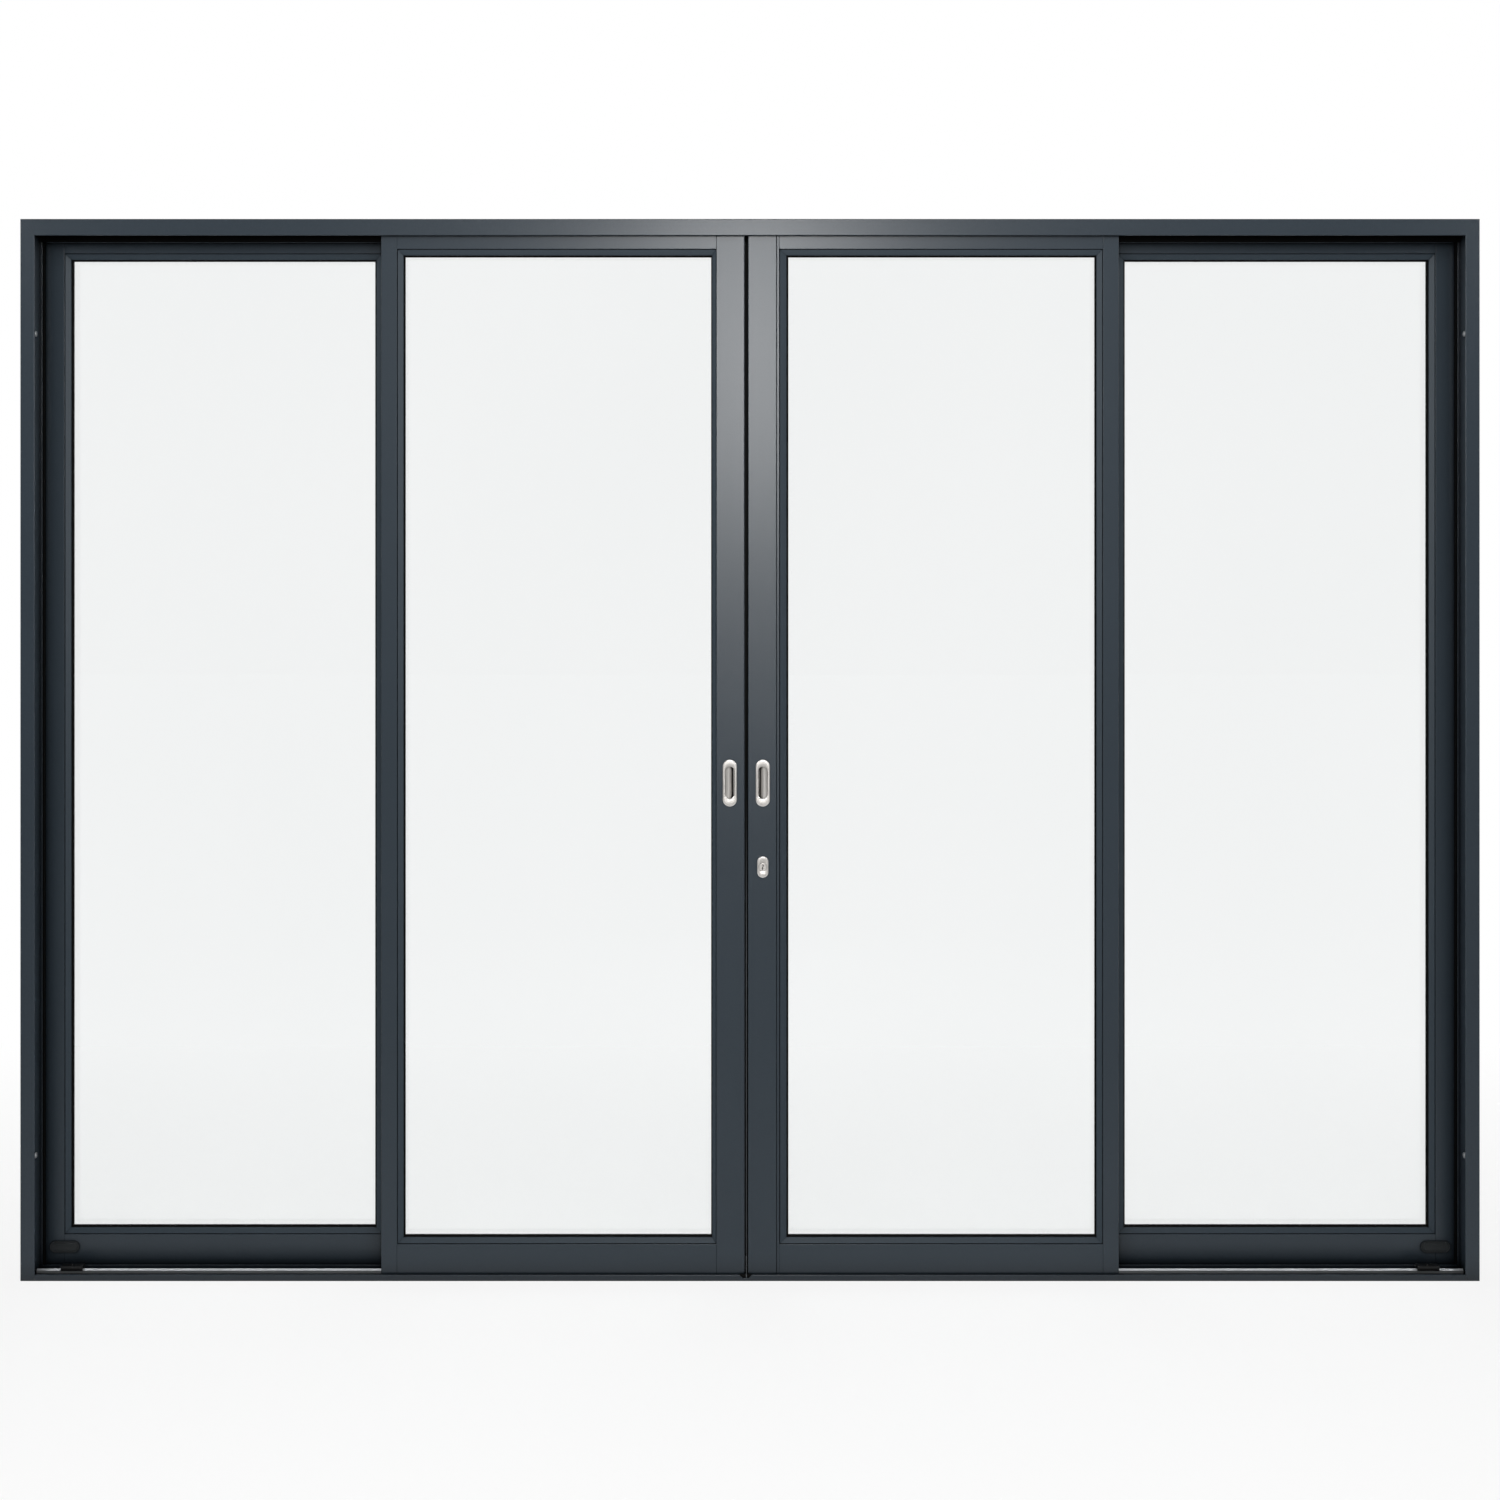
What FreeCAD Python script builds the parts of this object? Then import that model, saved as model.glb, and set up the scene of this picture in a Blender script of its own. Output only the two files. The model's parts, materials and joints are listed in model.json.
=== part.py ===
import FreeCAD, Part
import math
import os

# Four-panel glass sliding patio door in powder-coated aluminium.
# Two fixed side lights stand in the rear track and two leaves slide in the front track.
# X runs to the right, Y runs away from the viewer and Z runs up.
# The origin is on the underside of the sill, at mid width and mid depth.

Vec = FreeCAD.Vector

# Overall size
overall_width = 3000.0
overall_height = 2183.0

# Frame profiles
lip_wall = 2.5
chamber_wall = 2.0
jamb_face = 29.4
jamb_body = 20.5
jamb_rib_reach = 4.5
head_face = 34.0
head_body = 20.0
head_rib_drop = 40.0
sill_web = 3.0
sill_lip_height = 12.5
mid_rib_wall = 3.0
corner_round = 1.5
edge_bevel = 0.6

# Notch in the sill's front lip, under the meeting stiles
notch_centre = -9.2
notch_width = 26.0
notch_depth = 6.5

# Tracks
upstand_width = 6.0
upstand_height = 8.5
cap_wall = 1.0
cap_skirt = 4.5
cap_plate = 2.0
crown_width = 4.0
crown_height = 2.0
crown_bevel = 1.2
cap_end_gap = 4.5

# Sashes
sash_depth = 38.0
running_gap = 5.5
hook_wall = 2.0
hook_gap = 5.0
hook_lip = 16.0
sash_floor_gap = 5.5
sash_ceiling_gap = 5.5
top_rail_face = 35.2
bottom_rail_face = 64.4
meeting_stile_face = 58.3
seam_groove_width = 1.2
seam_groove_depth = 1.2
seam_strip_width = 5.0
leaf_interlock_face = 33.0
light_interlock_face = 39.2
light_jamb_stile_face = 46.9
interlock_overlap = 30.0
left_meeting_edge = -11.1
meeting_gap = 7.0
roller_channel = 18.0
roller_channel_height = 37.5

# Glazing
rebate = 16.0
left_meeting_rebate = 10.8
right_meeting_rebate = 18.8
gasket_sight = 3.4
flange_wall = 3.0
rear_face = 8.5
rear_sight = 2.0
bead_recess = 1.0
bead_plate = 2.5
bead_slope = 3.5
bead_leg = 2.0
bead_leg_depth = 11.0
bead_groove = 0.6
bead_bevel = 0.8
mitre_gap = 0.15
pane = 4.0
cavity = 14.0
front_gasket = 3.0
gasket_hold = 4.0
pane_edge_gap = 4.0
spacer_width = 6.5
setting_block_length = 100.0
setting_block_inset = 90.0

# Flush pulls
pull_length = 96.4
pull_width = 28.7
pull_rim = 1.5
pull_recess_length = 66.0
pull_recess_width = 19.0
pull_shallow = 4.0
pull_knee = 6.5
pull_trench = 4.0
pull_trench_floor = 3.2
pull_deep = 11.0
pull_shell = 1.5
pull_height = 1022.5
pull_inset = 30.5
pull_ledge = 1.0
pull_fit = 0.3

# Lock
lock_height = 849.5
plate_length = 43.7
plate_width = 22.8
plate_rim = 1.5
plug_radius = 8.5
plug_clearance = 0.1
plug_proud = 0.6
keyway_width = 2.6
keyway_length = 11.0
keyway_depth = 9.0

# Rollers, packers and stops
wheel_radius = 13.5
wheel_width = 12.0
wheel_groove_depth = 2.4
wheel_rail_gap = 0.3
carriage_wall = 2.0
carriage_length = 84.0
carriage_height = 24.0
roller_inset = 110.0
packer_length = 60.0
packer_inset = 120.0
stop_length = 45.5
stop_width = 16.0
stop_height = 7.5
stop_inset = 55.0

# Drain covers
cover_length = 61.0
cover_height = 23.0
cover_thickness = 3.0
cover_edge_inset = 17.0
cover_centre_height = 47.0
cover_rim = 2.0
cover_rim_depth = 0.8

# Seal between the meeting stiles
seal_base_width = 8.0
seal_base = 1.0
seal_fin = 1.2
seal_bulb_radius = 1.5
seal_reach = 6.0
seal_end_gap = 8.0

# Wall fixings
fixing_radius = 3.75
jamb_fixing_low = 250.0
jamb_fixing_drop = 233.0
head_fixing_pitch = 1800.0

# Depth positions, measured back from the frame's front face
leaf_front = lip_wall + running_gap
leaf_rear = leaf_front + sash_depth
sash_gap = 3 * hook_gap + 2 * hook_wall
light_front = leaf_rear + sash_gap
light_rear = light_front + sash_depth
frame_depth = light_rear + running_gap + lip_wall
rib_front = leaf_rear + (sash_gap - mid_rib_wall) / 2
rib_rear = rib_front + mid_rib_wall
front_track = leaf_front + sash_depth / 2
rear_track = light_front + sash_depth / 2

# Heights and half widths that several pieces share
half_width = overall_width / 2
channel_floor = half_width - jamb_body
jamb_lip_edge = half_width - jamb_face
head_ceiling = overall_height - head_body
head_lip_edge = overall_height - head_face
head_rib_edge = overall_height - head_rib_drop
upstand_top = sill_web + upstand_height
cap_shoulder = upstand_top + cap_plate
rail_top = cap_shoulder + crown_height
sash_bottom = sill_web + sash_floor_gap
sash_top = head_ceiling - sash_ceiling_gap
track_notch_top = rail_top + hook_gap + edge_bevel
bead_face = rebate - gasket_sight
right_meeting_edge = left_meeting_edge + meeting_gap
right_meeting_face = meeting_stile_face + seam_groove_width + seam_strip_width
glass_front = bead_recess + bead_plate + bead_slope + front_gasket
glass_rear = glass_front + 2 * pane + cavity

# The leaves and the side lights have glass of the same width
light_sight = channel_floor - light_jamb_stile_face - rebate
leaf_sight = right_meeting_edge + right_meeting_face + right_meeting_rebate
shared_bars = interlock_overlap + leaf_interlock_face - light_interlock_face
leaf_outer_edge = (light_sight + leaf_sight + shared_bars) / 2
light_inner_edge = leaf_outer_edge - interlock_overlap


def depth(d):
    """The Y coordinate of a depth behind the frame's front face."""
    return d - frame_depth / 2


def block(x0, x1, d0, d1, z0, z1):
    return Part.makeBox(x1 - x0, d1 - d0, z1 - z0, Vec(x0, depth(d0), z0))


def outline_wire(points, place):
    """A closed wire set in space by place(u, v). A corner is (u, v), or (u, v, size) with a bevel,
    or (u, v, size, "round") with an arc of that radius."""
    corners = [place(p[0], p[1]) for p in points]
    starts = []
    ends = []
    turns = []
    for i, point in enumerate(points):
        corner = corners[i]
        if len(point) == 2:
            starts.append(corner)
            ends.append(corner)
            turns.append(None)
            continue
        size = point[2]
        before = (corners[i - 1] - corner).normalize()
        after = (corners[(i + 1) % len(corners)] - corner).normalize()
        half = before.getAngle(after) / 2
        centre = corner + (before + after).normalize() * (size / math.sin(half))
        middle = centre + (corner - centre).normalize() * size
        starts.append(corner + before * (size / math.tan(half)))
        ends.append(corner + after * (size / math.tan(half)))
        if len(point) == 4:
            turns.append(Part.Arc(starts[i], middle, ends[i]).toShape())
        else:
            turns.append(Part.LineSegment(starts[i], ends[i]).toShape())
    edges = []
    for i in range(len(corners)):
        if turns[i]:
            edges.append(turns[i])
        following = starts[(i + 1) % len(corners)]
        if (following - ends[i]).Length > 1e-6:
            edges.append(Part.LineSegment(ends[i], following).toShape())
    return Part.Wire(edges)


def profile(outline, holes, place, sweep):
    """A hollow section with its outline and chambers, drawn by place(u, v) and extruded by sweep."""
    wires = [outline_wire(outline, place)] + [outline_wire(hole, place) for hole in holes]
    return Part.makeFace(wires, "Part::FaceMakerBullseye").extrude(sweep)


def rectangle(u0, u1, v0, v1):
    return [(u0, v0), (u1, v0), (u1, v1), (u0, v1)]


def obround(x, z, length, width, d0, d1):
    """An upright slot shape, as wide as width and as tall as length, from depth d0 to d1."""
    radius = width / 2
    rise = length / 2 - radius
    y = depth(d0)
    low_left = Vec(x - radius, y, z - rise)
    low_right = Vec(x + radius, y, z - rise)
    high_left = Vec(x - radius, y, z + rise)
    high_right = Vec(x + radius, y, z + rise)
    edges = [
        Part.Arc(low_left, Vec(x, y, z - length / 2), low_right).toShape(),
        Part.LineSegment(low_right, high_right).toShape(),
        Part.Arc(high_right, Vec(x, y, z + length / 2), high_left).toShape(),
        Part.LineSegment(high_left, low_left).toShape(),
    ]
    return Part.Face(Part.Wire(edges)).extrude(Vec(0, d1 - d0, 0))


def obround_across(x, z, length, width, d0, d1):
    """The same slot shape, lying on its side."""
    shape = obround(x, z, length, width, d0, d1)
    return shape.rotated(Vec(x, 0, z), Vec(0, 1, 0), 90)


def mirrored(shape):
    """The mirror image across the middle of the door."""
    return shape.mirror(Vec(0, 0, 0), Vec(1, 0, 0))


def bevelled_plate(x, z, length, width, thickness, face):
    """An obround plate on the face at depth face, bevelled at 45 degrees over its whole thickness."""
    block_depth = 2 * thickness
    shape = obround(x, z, length, width, face - thickness, face - thickness + block_depth)
    y = depth(face - thickness)
    rim = [e for e in shape.Edges if all(abs(v.Point.y - y) < 1e-6 for v in e.Vertexes)]
    bevelled = shape.makeChamfer(thickness, rim)
    return bevelled.cut(obround(x, z, length + 1, width + 1, face, face + block_depth))


def save(name, *shapes):
    solids = [solid for shape in shapes for solid in shape.Solids]
    whole = solids[0] if len(solids) == 1 else Part.makeCompound(solids)
    whole.exportStep(f"parts/{name}.step")


# Frame


def jamb_profile():
    """The right jamb: a two-chamber body with a front lip, a rear lip and a rib between the tracks."""
    d_mid = (rib_front + rib_rear) / 2
    outline = [
        (half_width, 0, corner_round, "round"),
        (jamb_lip_edge, 0, corner_round, "round"),
        (jamb_lip_edge, lip_wall),
        (channel_floor, lip_wall),
        (channel_floor, rib_front),
        (channel_floor - jamb_rib_reach, rib_front, edge_bevel),
        (channel_floor - jamb_rib_reach, rib_rear),
        (channel_floor, rib_rear),
        (channel_floor, frame_depth - lip_wall),
        (jamb_lip_edge, frame_depth - lip_wall),
        (jamb_lip_edge, frame_depth, corner_round, "round"),
        (half_width, frame_depth, corner_round, "round"),
    ]
    inner = channel_floor + chamber_wall
    outer = half_width - chamber_wall
    web = chamber_wall / 2
    holes = [
        rectangle(inner, outer, lip_wall, d_mid - web),
        rectangle(inner, outer, d_mid + web, frame_depth - lip_wall),
    ]
    return profile(outline, holes, lambda u, v: Vec(u, depth(v), 0), Vec(0, 0, overall_height))


def head_profile():
    """The head: the same twin channel, hanging lips over the sashes."""
    d_mid = (rib_front + rib_rear) / 2
    outline = [
        (overall_height, 0, corner_round, "round"),
        (head_lip_edge, 0, corner_round, "round"),
        (head_lip_edge, lip_wall),
        (head_ceiling, lip_wall),
        (head_ceiling, rib_front),
        (head_rib_edge, rib_front, edge_bevel),
        (head_rib_edge, rib_rear),
        (head_ceiling, rib_rear),
        (head_ceiling, frame_depth - lip_wall),
        (head_lip_edge, frame_depth - lip_wall),
        (head_lip_edge, frame_depth, corner_round, "round"),
        (overall_height, frame_depth, corner_round, "round"),
    ]
    low = head_ceiling + chamber_wall
    high = overall_height - chamber_wall
    web = chamber_wall / 2
    holes = [
        rectangle(low, high, lip_wall, d_mid - web),
        rectangle(low, high, d_mid + web, frame_depth - lip_wall),
    ]
    place = lambda u, v: Vec(-half_width, depth(v), u)
    return profile(outline, holes, place, Vec(overall_width, 0, 0))


def corner_wedge():
    """The space above the mitre line at the top right corner."""
    corner = Vec(half_width, depth(-1), overall_height)
    run = Vec(jamb_face, 0, head_face)
    points = [corner + run, corner - run * 2, corner - run * 2 + Vec(-overall_width, 0, 0),
              corner + run + Vec(-overall_width, 0, 0), corner + run]
    return Part.Face(Part.makePolygon(points)).extrude(Vec(0, frame_depth + 2, 0))


def fixing_bore(point, axis, reach):
    return Part.makeCylinder(fixing_radius, reach, point, axis)


def jamb_fixings():
    """Screw holes through the right jamb's front channel."""
    bores = []
    for z in (jamb_fixing_low, overall_height - jamb_fixing_drop):
        start = Vec(channel_floor - 1, depth(front_track), z)
        bores.append(fixing_bore(start, Vec(1, 0, 0), jamb_body + 2))
    return bores


def head_fixings():
    """Screw holes through the head's front channel."""
    bores = []
    for side in (-1, 1):
        start = Vec(side * head_fixing_pitch / 2, depth(front_track), head_ceiling - 1)
        bores.append(fixing_bore(start, Vec(0, 0, 1), head_body + 2))
    return bores


def sill_profile(jambs):
    """The sill: web, lips, low mid rib and one upstand under each track."""
    u0 = front_track - upstand_width / 2
    u1 = front_track + upstand_width / 2
    w0 = rear_track - upstand_width / 2
    w1 = rear_track + upstand_width / 2
    outline = [
        (0, 0),
        (sill_lip_height, 0, corner_round, "round"),
        (sill_lip_height, lip_wall),
        (sill_web, lip_wall),
        (sill_web, u0),
        (upstand_top, u0),
        (upstand_top, u1),
        (sill_web, u1),
        (sill_web, rib_front),
        (sill_lip_height, rib_front, edge_bevel),
        (sill_lip_height, rib_rear),
        (sill_web, rib_rear),
        (sill_web, w0),
        (upstand_top, w0),
        (upstand_top, w1),
        (sill_web, w1),
        (sill_web, frame_depth - lip_wall),
        (sill_lip_height, frame_depth - lip_wall),
        (sill_lip_height, frame_depth, corner_round, "round"),
        (0, frame_depth),
    ]
    place = lambda u, v: Vec(-channel_floor, depth(v), u)
    sill = profile(outline, [], place, Vec(2 * channel_floor, 0, 0))
    low = sill_lip_height - notch_depth
    rim = notch_width / 2
    points = [(-rim, 1), (-rim, 0), (-rim + notch_depth, -notch_depth),
              (rim - notch_depth, -notch_depth), (rim, 0), (rim, 1), (-rim, 1)]
    corners = [Vec(notch_centre + p[0], depth(-1), sill_lip_height + p[1]) for p in points]
    notch = Part.Face(Part.makePolygon(corners)).extrude(Vec(0, lip_wall + 1.5, 0))
    for jamb in jambs:
        sill = sill.cut(jamb)
    return sill.cut(notch)


def rail_cap(track):
    """The bright cap over one upstand, with the crown that the rollers run on."""
    inner = upstand_width / 2
    outer = inner + cap_wall
    crown = crown_width / 2
    base = upstand_top - cap_skirt
    outline = [
        (base, -outer),
        (cap_shoulder, -outer, edge_bevel),
        (cap_shoulder, -crown),
        (rail_top, -crown, crown_bevel),
        (rail_top, crown, crown_bevel),
        (cap_shoulder, crown),
        (cap_shoulder, outer, edge_bevel),
        (base, outer),
        (base, inner),
        (upstand_top, inner),
        (upstand_top, -inner),
        (base, -inner),
    ]
    start = -(channel_floor - cap_end_gap)
    place = lambda u, v: Vec(start, depth(track + v), u)
    return profile(outline, [], place, Vec(-2 * start, 0, 0))


def end_stop(cap):
    """The right-hand stop, saddled over the front rail."""
    x0 = channel_floor - stop_inset - stop_length
    d0 = front_track - stop_width / 2
    stop = block(x0, x0 + stop_length, d0, d0 + stop_width, cap_shoulder, rail_top + stop_height)
    top = [e for e in stop.Edges if all(abs(v.Point.z - rail_top - stop_height) < 1e-6 for v in e.Vertexes)]
    return stop.makeChamfer(corner_round, top).cut(cap)


# Sashes


def sash_ring(rect, section, sides, mitred):
    """Bars round a rectangle. The section holds (n, d) corners: n inward from the rectangle, d its
    depth. sides gives each side's share of n, in the order left, bottom, right, top. Mitred bars stay
    apart by the mitre gap; otherwise the ring is one piece."""
    x0, x1, z0, z1 = rect
    left, bottom, right, top = sides

    def corner(k, n, d):
        x = x0 + left * n if k in (0, 3) else x1 - right * n
        z = z0 + bottom * n if k in (0, 1) else z1 - top * n
        return Vec(x, depth(d), z)

    def face(points):
        return Part.Face(Part.makePolygon(points + [points[0]]))

    count = len(section)
    solids = []
    faces = []
    for k in range(4):
        along = (corner((k + 1) % 4, 0, 0) - corner(k, 0, 0)).normalize()
        shift = along * (mitre_gap if mitred else 0.0)
        first = [corner(k, n, d) + shift for n, d in section]
        last = [corner((k + 1) % 4, n, d) - shift for n, d in section]
        for i in range(count):
            j = (i + 1) % count
            faces.append(face([first[i], last[i], last[j], first[j]]))
        if mitred:
            faces.append(face(first))
            faces.append(face(last))
            solids.append(closed_solid(faces))
            faces = []
    return solids if mitred else [closed_solid(faces)]


def closed_solid(faces):
    shell = Part.Shell(faces)
    shell.sewShape()
    solid = Part.Solid(shell)
    if solid.Volume < 0:
        solid.reverse()
    return solid


def stile(x_edge, inward, face, front, sides_rebate, hook, z0, z1):
    """A hollow stile. x_edge is its outer edge, inward is +1 or -1 towards the glass, and hook is
    'rear' on a leaf's interlock, 'front' on a side light's, or None."""
    flange = face + sides_rebate * rear_face / rebate
    outline = [
        (0, 0, corner_round, "round"),
        (face, 0, edge_bevel),
        (face, sash_depth - flange_wall),
        (flange, sash_depth - flange_wall),
        (flange, sash_depth, edge_bevel),
        (0, sash_depth, corner_round, "round"),
    ]
    if hook == "seam":
        seam = face - seam_strip_width
        groove = seam - seam_groove_width
        outline[1:1] = [
            (groove, 0, edge_bevel / 2),
            (groove, seam_groove_depth),
            (seam, seam_groove_depth),
            (seam, 0, edge_bevel / 2),
        ]
    hole = rectangle(chamber_wall, face - chamber_wall, chamber_wall, sash_depth - chamber_wall)
    place = lambda u, v: Vec(x_edge + inward * u, depth(front + v), z0)
    bar = profile(outline, [hole], place, Vec(0, 0, z1 - z0))
    if hook in ("front", "rear"):
        base = 0 if hook == "front" else sash_depth
        away = -1 if hook == "front" else 1
        reach = away * (2 * hook_gap + 2 * hook_wall)
        lip = away * (2 * hook_gap + hook_wall)
        points = [
            (0, base),
            (0, base + reach),
            (hook_lip, base + reach),
            (hook_lip, base + lip),
            (hook_wall, base + lip),
            (hook_wall, base),
        ]
        low = sill_lip_height + hook_gap
        high = head_rib_edge - hook_gap
        hook_place = lambda u, v: Vec(x_edge + inward * u, depth(front + v), low)
        bar = bar.fuse(profile(points, [], hook_place, Vec(0, 0, high - low))).removeSplitter()
    track = front + sash_depth / 2
    half = roller_channel / 2
    notch = block(
        min(x_edge, x_edge + inward * flange) - 1,
        max(x_edge, x_edge + inward * flange) + 1,
        track - half,
        track + half,
        z0 - 1,
        track_notch_top,
    )
    return bar.cut(notch)


def top_rail(x0, x1, front, stiles):
    """The top rail, butted between the stiles."""
    low = sash_top - top_rail_face
    outline = [
        (sash_top, 0),
        (sash_top, sash_depth),
        (low - rear_face, sash_depth, edge_bevel),
        (low - rear_face, sash_depth - flange_wall),
        (low, sash_depth - flange_wall),
        (low, 0, edge_bevel),
    ]
    hole = rectangle(low + chamber_wall, sash_top - chamber_wall, chamber_wall, sash_depth - chamber_wall)
    place = lambda u, v: Vec(x0, depth(front + v), u)
    bar = profile(outline, [hole], place, Vec(x1 - x0, 0, 0))
    return bar.cut(Part.makeCompound(stiles))


def bottom_rail(x0, x1, front, stiles):
    """The bottom rail, with the channel that straddles the track."""
    high = sash_bottom + bottom_rail_face
    channel = sash_depth / 2 - roller_channel / 2
    far = sash_depth - channel
    web = sash_bottom + roller_channel_height
    wall = chamber_wall
    outline = [
        (sash_bottom, 0, edge_bevel),
        (sash_bottom, channel),
        (web, channel),
        (web, far),
        (sash_bottom, far),
        (sash_bottom, sash_depth, edge_bevel),
        (high + rear_face, sash_depth, edge_bevel),
        (high + rear_face, sash_depth - flange_wall),
        (high, sash_depth - flange_wall),
        (high, 0, edge_bevel),
    ]
    holes = [
        rectangle(sash_bottom + wall, web, wall, channel - wall),
        rectangle(sash_bottom + wall, web, far + wall, sash_depth - wall),
        rectangle(web + wall, high - wall, wall, sash_depth - wall),
    ]
    place = lambda u, v: Vec(x0, depth(front + v), u)
    bar = profile(outline, holes, place, Vec(x1 - x0, 0, 0))
    return bar.cut(Part.makeCompound(stiles))


def glazing(rect, front, rebates):
    """Beads, gaskets, spacer, setting blocks and the two panes of one double-glazed unit."""
    sides = [r / rebate for r in rebates]
    face = front + bead_recess
    back = face + bead_plate
    fall = bead_slope / bead_face
    bead = [
        (bead_groove, face + bead_bevel),
        (bead_groove + bead_bevel, face),
        (bead_face - bead_bevel, face + bead_slope),
        (bead_face, face + bead_slope + bead_bevel),
        (bead_face, back + bead_slope),
        (bead_leg, back + fall * bead_leg),
        (bead_leg, front + bead_leg_depth),
        (0, front + bead_leg_depth),
        (0, back),
        (bead_groove, back),
    ]
    beads = sash_ring(rect, bead, sides, True)
    hold = bead_face - gasket_hold
    front_strip = [
        (hold, back + fall * hold),
        (bead_face, back + bead_slope),
        (rebate, front + glass_front - edge_bevel),
        (rebate, front + glass_front),
        (hold, front + glass_front),
    ]
    flange = sash_depth - flange_wall
    rear_hold = rear_face - gasket_hold
    rear_strip = [
        (rear_hold, front + flange),
        (rear_hold, front + glass_rear),
        (rear_face + rear_sight, front + glass_rear),
        (rear_face + rear_sight, front + glass_rear + edge_bevel),
        (rear_face, front + flange),
    ]
    gaskets = sash_ring(rect, front_strip, sides, False) + sash_ring(rect, rear_strip, sides, False)
    x0, x1, z0, z1 = rect
    edge = pane_edge_gap
    glass = []
    for d in (glass_front, glass_rear - pane):
        glass.append(block(x0 + edge, x1 - edge, front + d, front + d + pane, z0 + edge, z1 - edge))
    inner = front + glass_front + pane
    spacer_section = [
        (edge, inner),
        (edge + spacer_width, inner),
        (edge + spacer_width, inner + cavity),
        (edge, inner + cavity),
    ]
    spacer = sash_ring(rect, spacer_section, [1, 1, 1, 1], False)
    for start in (x0 + setting_block_inset, x1 - setting_block_inset - setting_block_length):
        end = start + setting_block_length
        gaskets.append(block(start, end, front + bead_leg_depth, front + glass_rear, z0, z0 + edge))
    return beads, gaskets, glass, spacer


def pull_cut(x):
    """The slot through both walls of a meeting stile that the pulls sit in."""
    inset = 2 * (pull_rim + pull_ledge)
    return obround(x, pull_height, pull_length - inset, pull_width - inset, leaf_front - 1, leaf_rear + 1)


def flush_pull(x, toward_gap):
    """A front flush pull: a bevelled rim round a recess whose floor falls into a finger trench."""
    face = leaf_front
    rim = bevelled_plate(x, pull_height, pull_length, pull_width, pull_rim, face)
    across = pull_recess_width / 2
    up = pull_recess_length / 2
    tub = block(
        x - across - pull_shell,
        x + across + pull_shell,
        face,
        face + pull_deep + pull_shell,
        pull_height - up - pull_shell,
        pull_height + up + pull_shell,
    )
    bottom = face + pull_deep
    recess = obround(x, pull_height, pull_recess_length, pull_recess_width, face - pull_rim, bottom)
    shallow_x = x - toward_gap * across
    deep_x = x + toward_gap * across
    low = pull_height - pull_recess_length
    points = [
        Vec(shallow_x, depth(face + pull_shallow), low),
        Vec(deep_x - toward_gap * pull_trench, depth(face + pull_knee), low),
        Vec(deep_x - toward_gap * pull_trench_floor, depth(bottom), low),
        Vec(deep_x, depth(bottom), low),
        Vec(deep_x, depth(bottom + 1), low),
        Vec(shallow_x, depth(bottom + 1), low),
    ]
    slope = Part.Face(Part.makePolygon(points + [points[0]])).extrude(Vec(0, 0, 2 * pull_recess_length))
    return rim.fuse(tub).cut(recess.cut(slope)).removeSplitter()


def to_rear(shape):
    """The same fitting turned round to the leaf's rear face."""
    return shape.mirror(Vec(0, depth(leaf_front + sash_depth / 2), 0), Vec(0, 1, 0))


def lock_plate(x):
    """An oval plate round the key cylinder."""
    plate = bevelled_plate(x, lock_height, plate_length, plate_width, plate_rim, leaf_front)
    start = Vec(x, depth(leaf_front - plate_rim - 1), lock_height)
    bore = Part.makeCylinder(plug_radius + plug_clearance, plate_rim + 2, start, Vec(0, 1, 0))
    return plate.cut(bore)


def lock_plug(x):
    """The round key cylinder, right through the leaf, with a keyway in each end."""
    start = leaf_front - plate_rim - plug_proud
    length = sash_depth + 2 * (plate_rim + plug_proud)
    plug = Part.makeCylinder(plug_radius, length, Vec(x, depth(start), lock_height), Vec(0, 1, 0))
    half = keyway_width / 2
    reach = keyway_length / 2
    for d0 in (start - 1, start + length - keyway_depth):
        slot = block(x - half, x + half, d0, d0 + keyway_depth + 1, lock_height - reach, lock_height + reach)
        plug = plug.cut(slot)
    return plug


def roller(x):
    """A V-grooved wheel in a steel carriage, standing on the ridge of the front rail."""
    groove_radius = wheel_radius - wheel_groove_depth
    ridge = crown_width / 2 - crown_bevel
    z = rail_top + wheel_rail_gap + groove_radius + ridge
    half = wheel_width / 2
    section = [
        (0, -half),
        (wheel_radius, -half),
        (wheel_radius, -wheel_groove_depth),
        (groove_radius, 0),
        (wheel_radius, wheel_groove_depth),
        (wheel_radius, half),
        (0, half),
    ]
    wire = outline_wire(section, lambda u, v: Vec(x + u, depth(front_track + v), z))
    wheel = Part.Face(wire).revolve(Vec(x, 0, z), Vec(0, 1, 0), 360)
    outer = half + carriage_wall
    top = sash_bottom + roller_channel_height
    low = top - carriage_height
    x0 = x - carriage_length / 2
    x1 = x + carriage_length / 2
    carriage = block(x0, x1, front_track - outer, front_track + outer, low, top)
    slot = block(x0 - 1, x1 + 1, front_track - half, front_track + half, low - 1, top - carriage_wall)
    return carriage.cut(slot).fuse(wheel).removeSplitter()


def packer(x, cap):
    """A block that carries a side light's bottom rail on the rear rail."""
    half = roller_channel / 2
    top = sash_bottom + roller_channel_height
    ends = (x - packer_length / 2, x + packer_length / 2)
    body = block(ends[0], ends[1], rear_track - half, rear_track + half, cap_shoulder, top)
    return body.cut(cap)


def drain_cover():
    """The oblong cover low on the right side light's outer corner."""
    x = channel_floor - cover_edge_inset - cover_length / 2
    front = light_front - cover_thickness
    cover = obround_across(x, cover_centre_height, cover_length, cover_height, front, light_front)
    length = cover_length - 2 * cover_rim
    height = cover_height - 2 * cover_rim
    well = obround_across(x, cover_centre_height, length, height, front - 1, front + cover_rim_depth)
    return cover.cut(well)


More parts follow.
